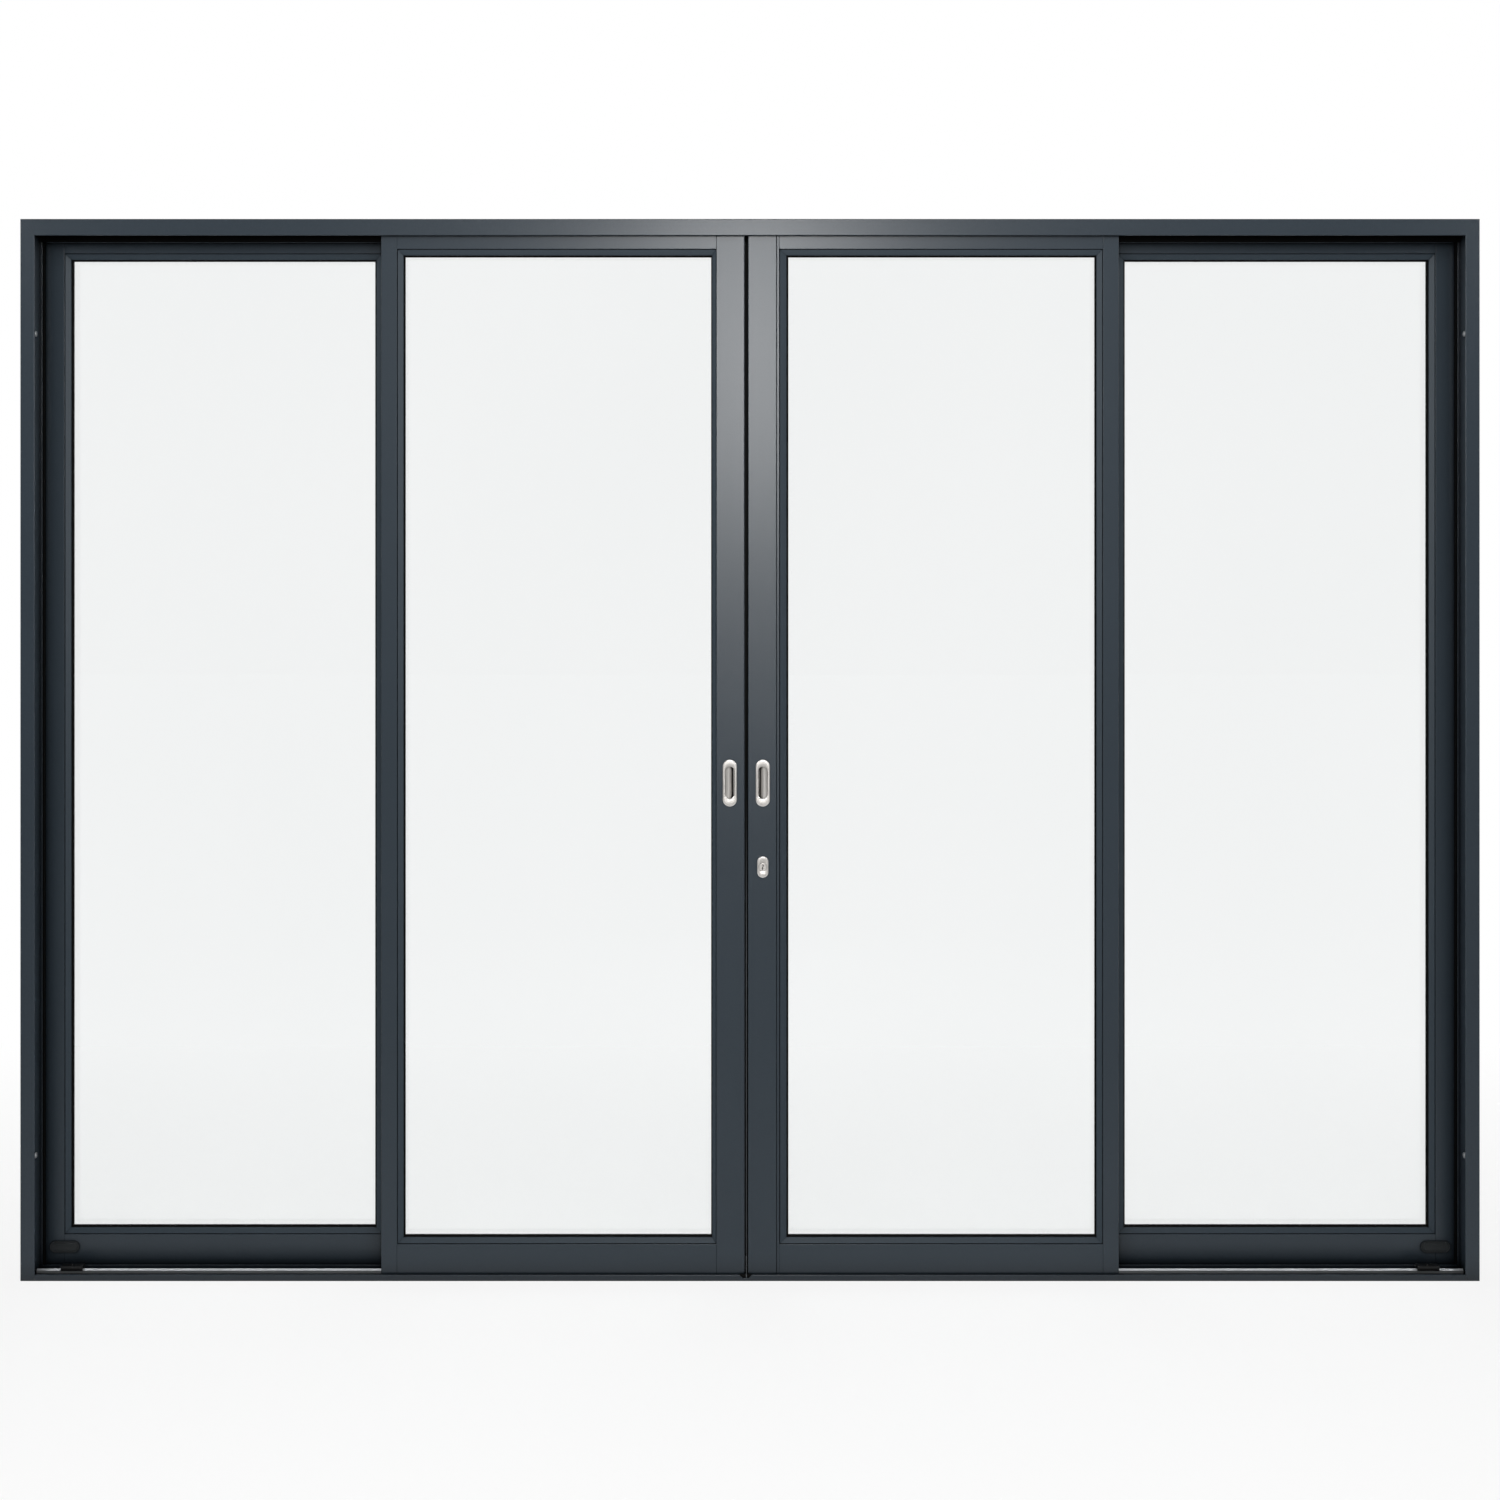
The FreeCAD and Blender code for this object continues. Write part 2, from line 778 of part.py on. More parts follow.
def meeting_seal():
    """The seal on the left leaf's meeting edge: a base strip, a fin and a round bulb."""
    d = leaf_front + sash_depth / 2
    low = sill_lip_height + seal_end_gap
    high = head_rib_edge - seal_end_gap
    edge = left_meeting_edge
    base = block(edge, edge + seal_base, d - seal_base_width / 2, d + seal_base_width / 2, low, high)
    tip = edge + seal_reach - seal_bulb_radius
    fin = block(edge, tip, d - seal_fin / 2, d + seal_fin / 2, low, high)
    bulb = Part.makeCylinder(seal_bulb_radius, high - low, Vec(tip, depth(d), low), Vec(0, 0, 1))
    return base.fuse([fin, bulb]).removeSplitter()


def save_panel(name, left, right, front):
    """One sash. left and right hold (edge, face, rebate, hook, node name, cuts) of its stiles.
    Returns the gaskets and the spacer."""
    stiles = []
    for (edge, face, side_rebate, hook, _, cuts), inward in ((left, 1), (right, -1)):
        bar = stile(edge, inward, face, front, side_rebate, hook, sash_bottom, sash_top)
        for cut in cuts:
            bar = bar.cut(cut)
        stiles.append(bar)
    save(f"{name}_{left[4]}", stiles[0])
    save(f"{name}_{right[4]}", stiles[1])
    x0 = left[0] + left[1]
    x1 = right[0] - right[1]
    save(f"{name}_top_rail", top_rail(x0, x1, front, stiles))
    save(f"{name}_bottom_rail", bottom_rail(x0, x1, front, stiles))
    rect = (x0, x1, sash_bottom + bottom_rail_face, sash_top - top_rail_face)
    beads, gaskets, glass, spacer = glazing(rect, front, (left[2], rebate, right[2], rebate))
    save(f"{name}_beads", *beads)
    save(f"{name}_glass", *glass)
    return gaskets, spacer


os.makedirs("parts", exist_ok=True)

jamb = jamb_profile()
wedge = corner_wedge()
jamb = jamb.cut(wedge)
for bore in jamb_fixings():
    jamb = jamb.cut(bore)
left_jamb = mirrored(jamb)
head = head_profile().common(wedge).common(mirrored(wedge))
for bore in head_fixings():
    head = head.cut(bore)
save("right_jamb", jamb)
save("left_jamb", left_jamb)
save("head_profile", head)
save("sill_profile", sill_profile([jamb, left_jamb]))

front_cap = rail_cap(front_track)
rear_cap = rail_cap(rear_track)
save("running_rails", front_cap, rear_cap)
stop = end_stop(front_cap)
save("track_end_stops", stop, mirrored(stop))
cover = drain_cover()
save("drain_covers", cover, mirrored(cover))

# The right side light, and its mirror image on the left
light_left = (light_inner_edge, light_interlock_face, rebate, "front", "interlock_stile", [])
light_right = (channel_floor, light_jamb_stile_face, rebate, None, "jamb_stile", [])
right_gaskets, right_spacer = save_panel("right_light", light_left, light_right, light_front)
mirror_left = (-channel_floor,) + light_right[1:]
mirror_right = (-light_inner_edge,) + light_left[1:]
left_gaskets, left_spacer = save_panel("left_light", mirror_left, mirror_right, light_front)
save("side_light_gaskets", *left_gaskets, *right_gaskets)
save("side_light_spacers", *left_spacer, *right_spacer)
packers = []
for side in (-1, 1):
    for x in (light_inner_edge + packer_inset, channel_floor - packer_inset):
        packers.append(packer(side * x, rear_cap))
save("fixed_light_packers", *packers)

# The left leaf
left_pull_x = left_meeting_edge - pull_inset
left_cuts = [pull_cut(left_pull_x)]
gaskets, spacer = save_panel(
    "left_leaf",
    (-leaf_outer_edge, leaf_interlock_face, rebate, "rear", "interlock_stile", []),
    (left_meeting_edge, meeting_stile_face, left_meeting_rebate, None, "meeting_stile", left_cuts),
    leaf_front,
)
save("left_leaf_gaskets", *gaskets)
save("left_leaf_spacer", *spacer)
left_pull = flush_pull(left_pull_x, 1)
save("left_leaf_pulls", left_pull, to_rear(left_pull))
save("meeting_seal", meeting_seal())

# The right leaf, with the lock
right_pull_x = right_meeting_edge + pull_inset
lock_bore = Part.makeCylinder(
    plug_radius + plug_clearance,
    sash_depth + 2,
    Vec(right_pull_x, depth(leaf_front - 1), lock_height),
    Vec(0, 1, 0),
)
right_cuts = [pull_cut(right_pull_x), lock_bore]
gaskets, spacer = save_panel(
    "right_leaf",
    (right_meeting_edge, right_meeting_face, right_meeting_rebate, "seam", "meeting_stile", right_cuts),
    (leaf_outer_edge, leaf_interlock_face, rebate, "rear", "interlock_stile", []),
    leaf_front,
)
save("right_leaf_gaskets", *gaskets)
save("right_leaf_spacer", *spacer)
right_pull = flush_pull(right_pull_x, -1)
save("right_leaf_pulls", right_pull, to_rear(right_pull))
plate = lock_plate(right_pull_x)
save("lock_escutcheons", plate, to_rear(plate))
save("lock_cylinder_plug", lock_plug(right_pull_x))

# Rollers, two under each leaf
for name, start, end in (
    ("left_leaf", -leaf_outer_edge, left_meeting_edge),
    ("right_leaf", right_meeting_edge, leaf_outer_edge),
):
    save(f"{name}_rollers", roller(start + roller_inset), roller(end - roller_inset))
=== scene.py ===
# %% [markdown]
# # A four-panel glass sliding patio door
# The frame comes packed: every bar, bead and pane is already a solid in its real place, in metres.
# This lesson dresses it. The finishes are made first, then the small fittings that a hand touches
# are modelled afresh, and last come the studio, the lamps and the camera.

# %% Load the door's frame
import json
import math

import bpy
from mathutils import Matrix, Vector


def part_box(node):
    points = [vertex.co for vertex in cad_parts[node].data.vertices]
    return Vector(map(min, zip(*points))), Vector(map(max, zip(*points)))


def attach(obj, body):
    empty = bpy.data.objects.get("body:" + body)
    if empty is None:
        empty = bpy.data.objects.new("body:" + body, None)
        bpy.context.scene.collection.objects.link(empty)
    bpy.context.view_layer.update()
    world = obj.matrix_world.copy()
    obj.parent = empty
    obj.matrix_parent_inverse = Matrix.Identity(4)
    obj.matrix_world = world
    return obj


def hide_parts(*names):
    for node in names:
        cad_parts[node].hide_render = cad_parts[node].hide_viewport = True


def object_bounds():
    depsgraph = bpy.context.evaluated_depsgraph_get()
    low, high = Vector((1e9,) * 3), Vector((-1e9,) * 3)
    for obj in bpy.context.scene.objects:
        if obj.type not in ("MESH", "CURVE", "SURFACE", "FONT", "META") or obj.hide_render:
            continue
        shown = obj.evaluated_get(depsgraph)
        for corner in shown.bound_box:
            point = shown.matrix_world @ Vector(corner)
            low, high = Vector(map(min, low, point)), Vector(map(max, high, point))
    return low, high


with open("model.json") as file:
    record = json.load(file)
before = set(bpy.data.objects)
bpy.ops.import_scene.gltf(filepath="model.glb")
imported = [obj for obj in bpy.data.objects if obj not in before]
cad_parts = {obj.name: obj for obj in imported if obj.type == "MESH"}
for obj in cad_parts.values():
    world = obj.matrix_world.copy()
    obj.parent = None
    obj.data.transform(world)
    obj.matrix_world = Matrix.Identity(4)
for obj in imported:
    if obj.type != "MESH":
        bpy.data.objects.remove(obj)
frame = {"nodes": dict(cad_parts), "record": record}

cad_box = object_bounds()
nodes = frame["nodes"]
front = cad_box[0][1]
print("nodes:", len(nodes), "size of the door:", [round(b - a, 3) for a, b in zip(*cad_box)])

# %% [markdown]
# ## A way to write finishes
# A finish is a small web of shader nodes. Most of it is plain arithmetic on noise, and arithmetic
# reads best as Python. So one class wraps a socket and lets the usual operators add the Math nodes.
# Every other kind of node comes from its `add` method, which takes the settings and the inputs.

# %% The class that wraps a socket
class Field:
    """A value that varies over a surface."""

    def __init__(self, tree, socket=None):
        self.tree = tree
        self.socket = socket

    def add(self, kind, settings=None, inputs=None, output=0):
        node = self.tree.nodes.new(kind)
        for key, value in (settings or {}).items():
            setattr(node, key, value)
        for key, value in (inputs or {}).items():
            if isinstance(value, Field):
                self.tree.links.new(value.socket, node.inputs[key])
            else:
                node.inputs[key].default_value = value
        return Field(self.tree, node.outputs[output])

    def math(self, operation, first, second=0.0):
        return self.add("ShaderNodeMath", {"operation": operation}, {0: first, 1: second})

    def __add__(self, other):
        return self.math("ADD", self, other)

    def __sub__(self, other):
        return self.math("SUBTRACT", self, other)

    def __rsub__(self, other):
        return self.math("SUBTRACT", other, self)

    def __mul__(self, other):
        return self.math("MULTIPLY", self, other)

    def __pow__(self, other):
        return self.math("POWER", self, other)


def new_finish(name):
    """A bare material, with its builder, Principled shader, output node and place on the piece."""
    material = bpy.data.materials.new(name)
    material.use_nodes = True
    tree = material.node_tree
    shader = tree.nodes["Principled BSDF"]
    output = tree.nodes["Material Output"]
    build = Field(tree)
    return material, build, shader, output, build.add("ShaderNodeTexCoord", output="Object")


def noise(build, place, scale, detail=2.0):
    """Soft random blotches, so many to the metre."""
    inputs = {"Vector": place, "Scale": scale, "Detail": detail, "Roughness": 0.55}
    return build.add("ShaderNodeTexNoise", {}, inputs)


def stretched(build, place, factors):
    return build.add("ShaderNodeMapping", {}, {"Vector": place, "Scale": factors})


def along(build, vector, axis):
    """One part of a place or a direction: 0 is sideways, 1 is depth and 2 is height."""
    return build.add("ShaderNodeSeparateXYZ", {}, {"Vector": vector}, axis)


def fade(build, value, start, end, before, after, smooth=False):
    """Goes from one level to another while the value goes from start to end."""
    settings = {"interpolation_type": "SMOOTHSTEP"} if smooth else {}
    levels = {"Value": value, 1: start, 2: end, 3: before, 4: after}
    return build.add("ShaderNodeMapRange", settings, levels)


def blend_colours(build, amount, first, second):
    """Two colours mixed by a value. A colour is three numbers or comes from another node."""
    ends = {"Factor": amount}
    for key, colour in (("A", first), ("B", second)):
        ends[key] = colour if isinstance(colour, Field) else (*colour, 1.0)
    return build.add("ShaderNodeMix", {"data_type": "RGBA"}, ends, "Result")


def blend_shaders(build, amount, first, second, output):
    """Two shaders mixed by a value, led to a material's output."""
    mixed = build.add("ShaderNodeMixShader", {}, {0: amount, 1: first, 2: second})
    build.tree.links.new(mixed.socket, output.inputs["Surface"])


def connect(build, shader, values):
    for key, value in values.items():
        if isinstance(value, Field):
            build.tree.links.new(value.socket, shader.inputs[key])
        else:
            shader.inputs[key].default_value = value


def open_air(build, reach):
    """How open a point lies: 1 on a flat face, less where something stands within reach."""
    return build.add("ShaderNodeAmbientOcclusion", {"samples": 4}, {"Distance": reach}, "AO")


def paint_shade_in_hollows(build, colour, reach, power, shade_colour):
    """Painted shade: lead a colour toward a shade colour where the air is least open."""
    return blend_colours(build, open_air(build, reach) ** power, shade_colour, colour)


def bumped(build, height, strength, distance, **more):
    """Heights as a change of the surface's direction. The distance is the full height."""
    inputs = {"Height": height, "Strength": strength, "Distance": distance, **more}
    return build.add("ShaderNodeBump", {}, inputs)


# %% [markdown]
# ## Powder coat
# The bars are aluminium with a baked powder coat in anthracite. Close to, such a coat has a fine
# skin like orange peel, with bumps of two or three millimetres, so a lamp's reflection on it breaks
# up into specks. Noise through a Bump node does that. Extruded edges are a little round, which a
# Bevel node gives, and they catch the lamp as thin bright lines.
#
# A door this deep lies in shade in its channels, and here that shade is painted into the coat in two
# ways. The colour is darkened over a long reach as painted shade, and near an inner corner the whole
# coat fades to black through a Mix Shader, gloss included, as a painted shadow. That painted shadow
# reaches two centimetres on the frame and the side lights, which lie deep, and less on the leaves and
# the beads, which stand forward. The frame's front faces are left out of it, since the floor under
# the sill would darken them. The beads are a duller batch of the same coat.

# %% Make the powder coat
def powder_coat(name, dark, light, roughness, gloss, painted_shade_reach):
    material, build, shader, output, place = new_finish(name)
    peel = noise(build, place, scale=420.0)
    ripple = noise(build, place, scale=120.0, detail=1.0)
    drift = noise(build, place, scale=3.0)
    edge_radius = 0.0014
    rounded = build.add("ShaderNodeBevel", {"samples": 4}, {"Radius": edge_radius})
    colour = blend_colours(build, peel * 0.7 + drift * 0.3, dark, light)
    skin = peel * 0.75 + ripple * 0.25
    connect(build, shader, {
        # Painted shade: the colour darkens to near black where the air is least open.
        "Base Color": paint_shade_in_hollows(build, colour, 0.055, 0.9, (0.0008, 0.001, 0.0014)),
        "Roughness": peel * 0.1 + roughness,
        "Normal": bumped(build, skin, strength=0.4, distance=0.0004, Normal=rounded),
        "Specular IOR Level": gloss,
    })
    # Painted shadow: near an inner corner the coat gives way to a black diffuse shader, gloss
    # included.
    depth = along(build, place, 1)
    front_face = fade(build, depth, front + 0.0005, front + 0.001, 1.0, 0.0)
    unshaded = build.math("MAXIMUM", open_air(build, painted_shade_reach) ** 2.2, front_face)
    black = build.add("ShaderNodeBsdfDiffuse", {}, {"Color": (0.001, 0.0012, 0.0015, 1.0)})
    coat = Field(build.tree, shader.outputs[0])
    blend_shaders(build, unshaded, black, coat, output)
    return material


frame_paint = powder_coat(
    "powder_coat_frame", (0.020, 0.029, 0.038), (0.035, 0.047, 0.060),
    roughness=0.25, gloss=0.3, painted_shade_reach=0.022,
)
sash_dark, sash_light = (0.019, 0.028, 0.037), (0.034, 0.046, 0.059)
leaf_paint = powder_coat(
    "powder_coat_leaf", sash_dark, sash_light, roughness=0.25, gloss=0.3, painted_shade_reach=0.007
)
# The side lights' coat is the leaves' coat with a wider reach of painted shade.
light_paint = powder_coat(
    "powder_coat_light", sash_dark, sash_light, roughness=0.25, gloss=0.3, painted_shade_reach=0.020
)
bead_paint = powder_coat(
    "powder_coat_beads", (0.020, 0.030, 0.039), (0.036, 0.049, 0.063),
    roughness=0.42, gloss=0.2, painted_shade_reach=0.010,
)


# %% [markdown]
# ## Metals
# The rail cap is anodised and drawn, so its fine lines run along the rail. Lines are noise stretched
# along one axis. The pulls and the lock are satin nickel, warmer and brushed up and down. Their
# sloping rims are polished and smoother, and their lighter colour is partly a painted highlight; a
# mask of how far a point stands out from the leaf's middle finds them. The finger hollows are
# darkened nearly to black as painted shade, whose reach is only a few millimetres here.

# %% Make the metals
def drawn_metal(name, dark, light, factors, roughness, strength):
    material, build, shader, _, place = new_finish(name)
    lines = noise(build, stretched(build, place, factors), scale=1.0, detail=3.0)
    cloud = noise(build, place, scale=40.0)
    connect(build, shader, {
        "Base Color": blend_colours(build, lines * 0.6 + cloud * 0.4, dark, light),
        "Metallic": 1.0,
        "Roughness": lines * 0.18 + roughness,
        "Normal": bumped(build, lines, strength, distance=0.0002),
    })
    return material


def satin_metal(name, satin, polished_highlight, leaf_middle, half_depth):
    """Brushed metal on both faces of a leaf, with polished rims lightened as a painted highlight and
    painted shade in its hollows.
    """
    material, build, shader, _, place = new_finish(name)
    upright = stretched(build, place, (2600.0, 2600.0, 60.0))
    lines = noise(build, upright, scale=1.0, detail=3.0)
    proud = build.math("ABSOLUTE", along(build, place, 1) - leaf_middle)
    below_flat = fade(build, proud, half_depth - 0.0003, half_depth - 0.0001, 1.0, 0.0)
    above_floor = fade(build, proud, half_depth - 0.0020, half_depth - 0.0016, 0.0, 1.0)
    rim = below_flat * above_floor
    # The rim's lighter colour is partly a painted highlight.
    colour = blend_colours(build, lines * 0.35 + rim * 0.65, satin, polished_highlight)
    connect(build, shader, {
        # Painted shade: the finger hollows darken nearly to black.
        "Base Color": paint_shade_in_hollows(build, colour, 0.006, 1.3, (0.004, 0.004, 0.004)),
        "Metallic": 1.0,
        "Roughness": lines * 0.12 + rim * -0.08 + 0.3,
        "Normal": bumped(build, lines, strength=0.08, distance=0.0002),
    })
    return material


anodised = drawn_metal(
    "anodised_cap", (0.44, 0.46, 0.48), (0.6, 0.62, 0.64), (12.0, 1800.0, 1800.0),
    roughness=0.34, strength=0.12,
)
zinc = drawn_metal(
    "zinc_plate", (0.4, 0.41, 0.43), (0.6, 0.61, 0.62), (300.0, 300.0, 300.0),
    roughness=0.35, strength=0.15,
)
pull_low, pull_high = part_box("left_leaf_pulls")
leaf_middle = (pull_low.y + pull_high.y) / 2
nickel = satin_metal(
    "satin_nickel", (0.48, 0.455, 0.43), (0.88, 0.87, 0.85), leaf_middle, pull_high.y - leaf_middle
)


# %% [markdown]
# ## Rubber and plastic
# Gaskets are matte black rubber with a faint skin. The stops, covers and spacers are black plastic
# with a moulded grain. Both are nearly black, so their roughness does most of the work.

# %% Make the rubber and the plastics
def moulded(name, dark, light, scale, roughness, strength, gloss):
    material, build, shader, _, place = new_finish(name)
    grain = noise(build, place, scale)
    cloud = noise(build, place, scale=25.0)
    connect(build, shader, {
        "Base Color": blend_colours(build, grain * 0.5 + cloud * 0.5, dark, light),
        "Roughness": grain * 0.2 + roughness,
        "Normal": bumped(build, grain, strength, distance=0.0003),
        "Specular IOR Level": gloss,
    })
    return material


rubber = moulded(
    "gasket_rubber", (0.0008, 0.0008, 0.0008), (0.0022, 0.0022, 0.0022),
    scale=700.0, roughness=0.6, strength=0.2, gloss=0.06,
)
black_plastic = moulded(
    "black_plastic", (0.002, 0.0022, 0.0025), (0.006, 0.0065, 0.007),
    scale=900.0, roughness=0.22, strength=0.15, gloss=0.26,
)
cover_plastic = moulded(
    "cover_plastic", (0.012, 0.0145, 0.016), (0.022, 0.025, 0.027),
    scale=900.0, roughness=0.35, strength=0.3, gloss=0.25,
)
spacer_plastic = moulded(
    "spacer_plastic", (0.0012, 0.0012, 0.0012), (0.004, 0.004, 0.0045),
    scale=500.0, roughness=0.5, strength=0.2, gloss=0.08,
)


# %% [markdown]
# The seal between the leaves is black rubber too, and a line down the crown of its bulb is painted
# grey as a highlight, where light catches the crown low down. A map from height and a map from the
# sideways place make the share of grey, and multiplied they leave it on that line alone.

# %% Make the seal's rubber
def rubber_with_painted_highlight(name, black, highlight_grey, crown, half_width, low, high):
    """Rubber with a painted grey highlight at one sideways place, strongest below one height."""
    material, build, shader, _, place = new_finish(name)
    grain = noise(build, place, scale=700.0)
    off_crown = build.math("ABSOLUTE", along(build, place, 0) - crown)
    near = fade(build, off_crown, half_width * 0.7, half_width, 1.0, 0.0)
    low_down = fade(build, along(build, place, 2), low, high, 1.0, 0.0, smooth=True)
    connect(build, shader, {
        # Painted highlight: a grey line down the bulb's crown, fading out higher up.
        "Base Color": blend_colours(build, near * low_down, black, highlight_grey),
        "Roughness": grain * 0.2 + 0.5,
        "Normal": bumped(build, grain, strength=0.2, distance=0.0003),
        "Specular IOR Level": 0.1,
    })
    return material


seal_low, seal_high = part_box("meeting_seal")
crown = seal_high.x - 0.0024
seal_rubber = rubber_with_painted_highlight(
    "seal_rubber", (0.0015, 0.0015, 0.0015), (0.12, 0.13, 0.14),
    crown, half_width=0.0009, low=0.6, high=1.05,
)

# %% [markdown]
# ## Glass
# Each unit is two clear panes with air between. Real panes take a little of the light, hardly more
# in one place than in another, so a slow noise moves their tint a touch. Shadow rays pass through a
# plain Transparent shader, because light that has to bend its way through four surfaces would leave
# a dark shadow that real glass doesn't throw.

# %% Make the glass
def clear_glass():
    material, build, shader, output, place = new_finish("clear_glass")
    haze = noise(build, stretched(build, place, (1.2, 1.0, 0.8)), scale=1.0)
    connect(build, shader, {
        "Base Color": blend_colours(build, haze, (0.94, 0.948, 0.948), (0.958, 0.964, 0.964)),
        "Roughness": 0.0,
        "IOR": 1.45,
        "Transmission Weight": 1.0,
    })
    clear = build.add("ShaderNodeBsdfTransparent", {}, {"Color": (0.93, 0.95, 0.945, 1.0)})
    shadow_rays = build.add("ShaderNodeLightPath", output="Is Shadow Ray")
    pane = Field(build.tree, shader.outputs[0])
    blend_shaders(build, shadow_rays, pane, clear, output)
    return material


glass = clear_glass()

# %% [markdown]
# ## Dress the frame's nodes
# Each node is named for its piece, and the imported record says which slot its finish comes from. So
# one table from slot to finish dresses them all, and the names pick out the beads and side lights.

# %% Give every node its finish
finishes = {
    "frame_paint": frame_paint,
    "sash_paint": leaf_paint,
    "rail_cap": anodised,
    "satin_nickel": nickel,
    "roller_steel": zinc,
    "black_plastic": black_plastic,
    "gasket": rubber,
    "spacer": spacer_plastic,
    "glass": glass,
}
for part in frame["record"]["subparts"]:
    mesh = nodes[part["node"]].data
    mesh.materials.clear()
    finish = finishes[part["material_slot"]]
    if part["node"].endswith("_beads"):
        finish = bead_paint
    elif finish is leaf_paint and "_light_" in part["node"]:
        finish = light_paint
    mesh.materials.append(finish)
print("dressed", len(nodes), "nodes")

# %% [markdown]
# ## Modelling by hand, in code
# The small fittings are worth modelling again, because a hand and an eye come close to them. Each
# starts as a primitive of the right size in the right place. Then edit mode's own tools shape it.
# The helpers do what the mouse would do: they open the new mesh, select by a test, and push, inset,
# cut and round what is selected.

# %% Helpers for edit mode
import bmesh

millimetre = 0.001


def clear_selection():
    """Leave edit mode and select nothing, since loading leaves the door's nodes selected."""
    if bpy.context.mode != "OBJECT":
        bpy.ops.object.mode_set(mode="OBJECT")
    bpy.ops.object.select_all(action="DESELECT")


def open_mesh(name):
    """Name the primitive just added, settle it at the origin and open it for editing."""
    piece = bpy.context.object
    piece.name = name
    piece.data.name = name
    bpy.ops.object.transform_apply(location=True, rotation=True, scale=True)
    bpy.ops.object.mode_set(mode="EDIT")
    bpy.ops.mesh.select_all(action="DESELECT")
    return piece


def pick(kind, test):
    """Select only the faces, edges or points that pass a test of their middle and themselves."""
    bpy.ops.mesh.select_mode(type=kind)
    bpy.ops.mesh.select_all(action="DESELECT")
    mesh = bmesh.from_edit_mesh(bpy.context.object.data)
    if kind == "FACE":
        chosen = [face for face in mesh.faces if test(face.calc_center_median(), face)]
    elif kind == "EDGE":
        chosen = [e for e in mesh.edges if test((e.verts[0].co + e.verts[1].co) / 2, e)]
    else:
        chosen = [vert for vert in mesh.verts if test(vert.co, vert)]
    for item in chosen:
        item.select_set(True)
    mesh.select_flush_mode()
    bmesh.update_edit_mesh(bpy.context.object.data)
    return len(chosen)


sides = {
    "left": (0, -1), "right": (0, 1), "front": (1, -1), "back": (1, 1), "down": (2, -1), "up": (2, 1)
}


def facing(side, where=None):
    """A test for faces that look to one side and, if asked, whose middles pass a second test."""
    axis, way = sides[side]
    return lambda co, face: face.normal[axis] * way > 0.9 and (where is None or where(co))


# An inset this small only gives the selected face an edge loop of its own.
no_width = 0.0001 * millimetre


def extrude(move):
    bpy.ops.mesh.extrude_region_move(TRANSFORM_OT_translate={"value": move})


def inset(thickness, rise=0.0):
    bpy.ops.mesh.inset(thickness=thickness, depth=rise, use_even_offset=True)


def chosen_points():
    """The selected points of the open piece: each one's number and place."""
    mesh = bmesh.from_edit_mesh(bpy.context.object.data)
    return {vert.index: vert.co.copy() for vert in mesh.verts if vert.select}


def spread_ends(middle, reach, axis=2):
    """Move the two halves of the selected loop apart along an axis: 2 is up, 0 is sideways."""
    loop = chosen_points()
    for side in (1, -1):
        pick("VERT", lambda co, vert: vert.index in loop and (co[axis] - middle[axis]) * side > 0)
        bpy.ops.transform.translate(value=[side * reach if i == axis else 0.0 for i in range(3)])
    pick("VERT", lambda co, vert: vert.index in loop)
    bpy.ops.mesh.select_mode(type="FACE")


def cut_across(axis, place):
    """Cut the whole open piece in a plane square to an axis: 0 is sideways, 1 depth, 2 height."""
    bpy.ops.mesh.select_all(action="SELECT")
    point = [place if i == axis else 0.0 for i in range(3)]
    square = [1.0 if i == axis else 0.0 for i in range(3)]
    bpy.ops.mesh.bisect(plane_co=point, plane_no=square)


def merge_doubles():
    """Join points of the piece that lie on one another and drop faces that have no area."""
    hair = 0.002 * millimetre
    bpy.ops.object.mode_set(mode="EDIT")
    bpy.ops.mesh.select_all(action="SELECT")
    bpy.ops.mesh.remove_doubles(threshold=hair)
    bpy.ops.mesh.dissolve_degenerate(threshold=hair)
    bpy.ops.object.mode_set(mode="OBJECT")


def soften(piece, width, segments=2, angle=35.0):
    """Leave edit mode, round the sharp edges a little and shade the rest smooth."""
    merge_doubles()
    rounding = piece.modifiers.new("rounding", "BEVEL")
    rounding.width = width
    rounding.segments = segments
    rounding.limit_method = "ANGLE"
    rounding.angle_limit = math.radians(angle)
    rounding.use_clamp_overlap = True
    bpy.ops.object.modifier_apply(modifier="rounding")
    merge_doubles()
    bpy.ops.object.shade_smooth_by_angle(angle=math.radians(angle))


origin = (0.0, 0.0, 0.0)


def copy_piece(piece, name, factors=(1.0, 1.0, 1.0), centre=origin):
    """A second piece with its own mesh, mirrored about a point where a factor is -1."""
    clear_selection()
    piece.select_set(True)
    bpy.context.view_layer.objects.active = piece
    bpy.ops.object.duplicate(linked=False)
    twin = bpy.context.object
    twin.name = name
    twin.data.name = name
    bpy.ops.object.mode_set(mode="EDIT")
    bpy.ops.mesh.select_all(action="SELECT")
    bpy.ops.transform.resize(value=factors, center_override=centre)
    bpy.ops.mesh.normals_make_consistent(inside=False)
    bpy.ops.object.mode_set(mode="OBJECT")
    return twin


def moved_copy(piece, name, move, angle=0.0, axis="Z", centre=origin):
    """A second piece with its own mesh, turned about a centre and then moved."""
    twin = copy_piece(piece, name)
    bpy.ops.object.mode_set(mode="EDIT")
    bpy.ops.mesh.select_all(action="SELECT")
    if angle:
        bpy.ops.transform.rotate(value=angle, orient_axis=axis, center_override=centre)
    bpy.ops.transform.translate(value=move)
    bpy.ops.object.mode_set(mode="OBJECT")
    return twin


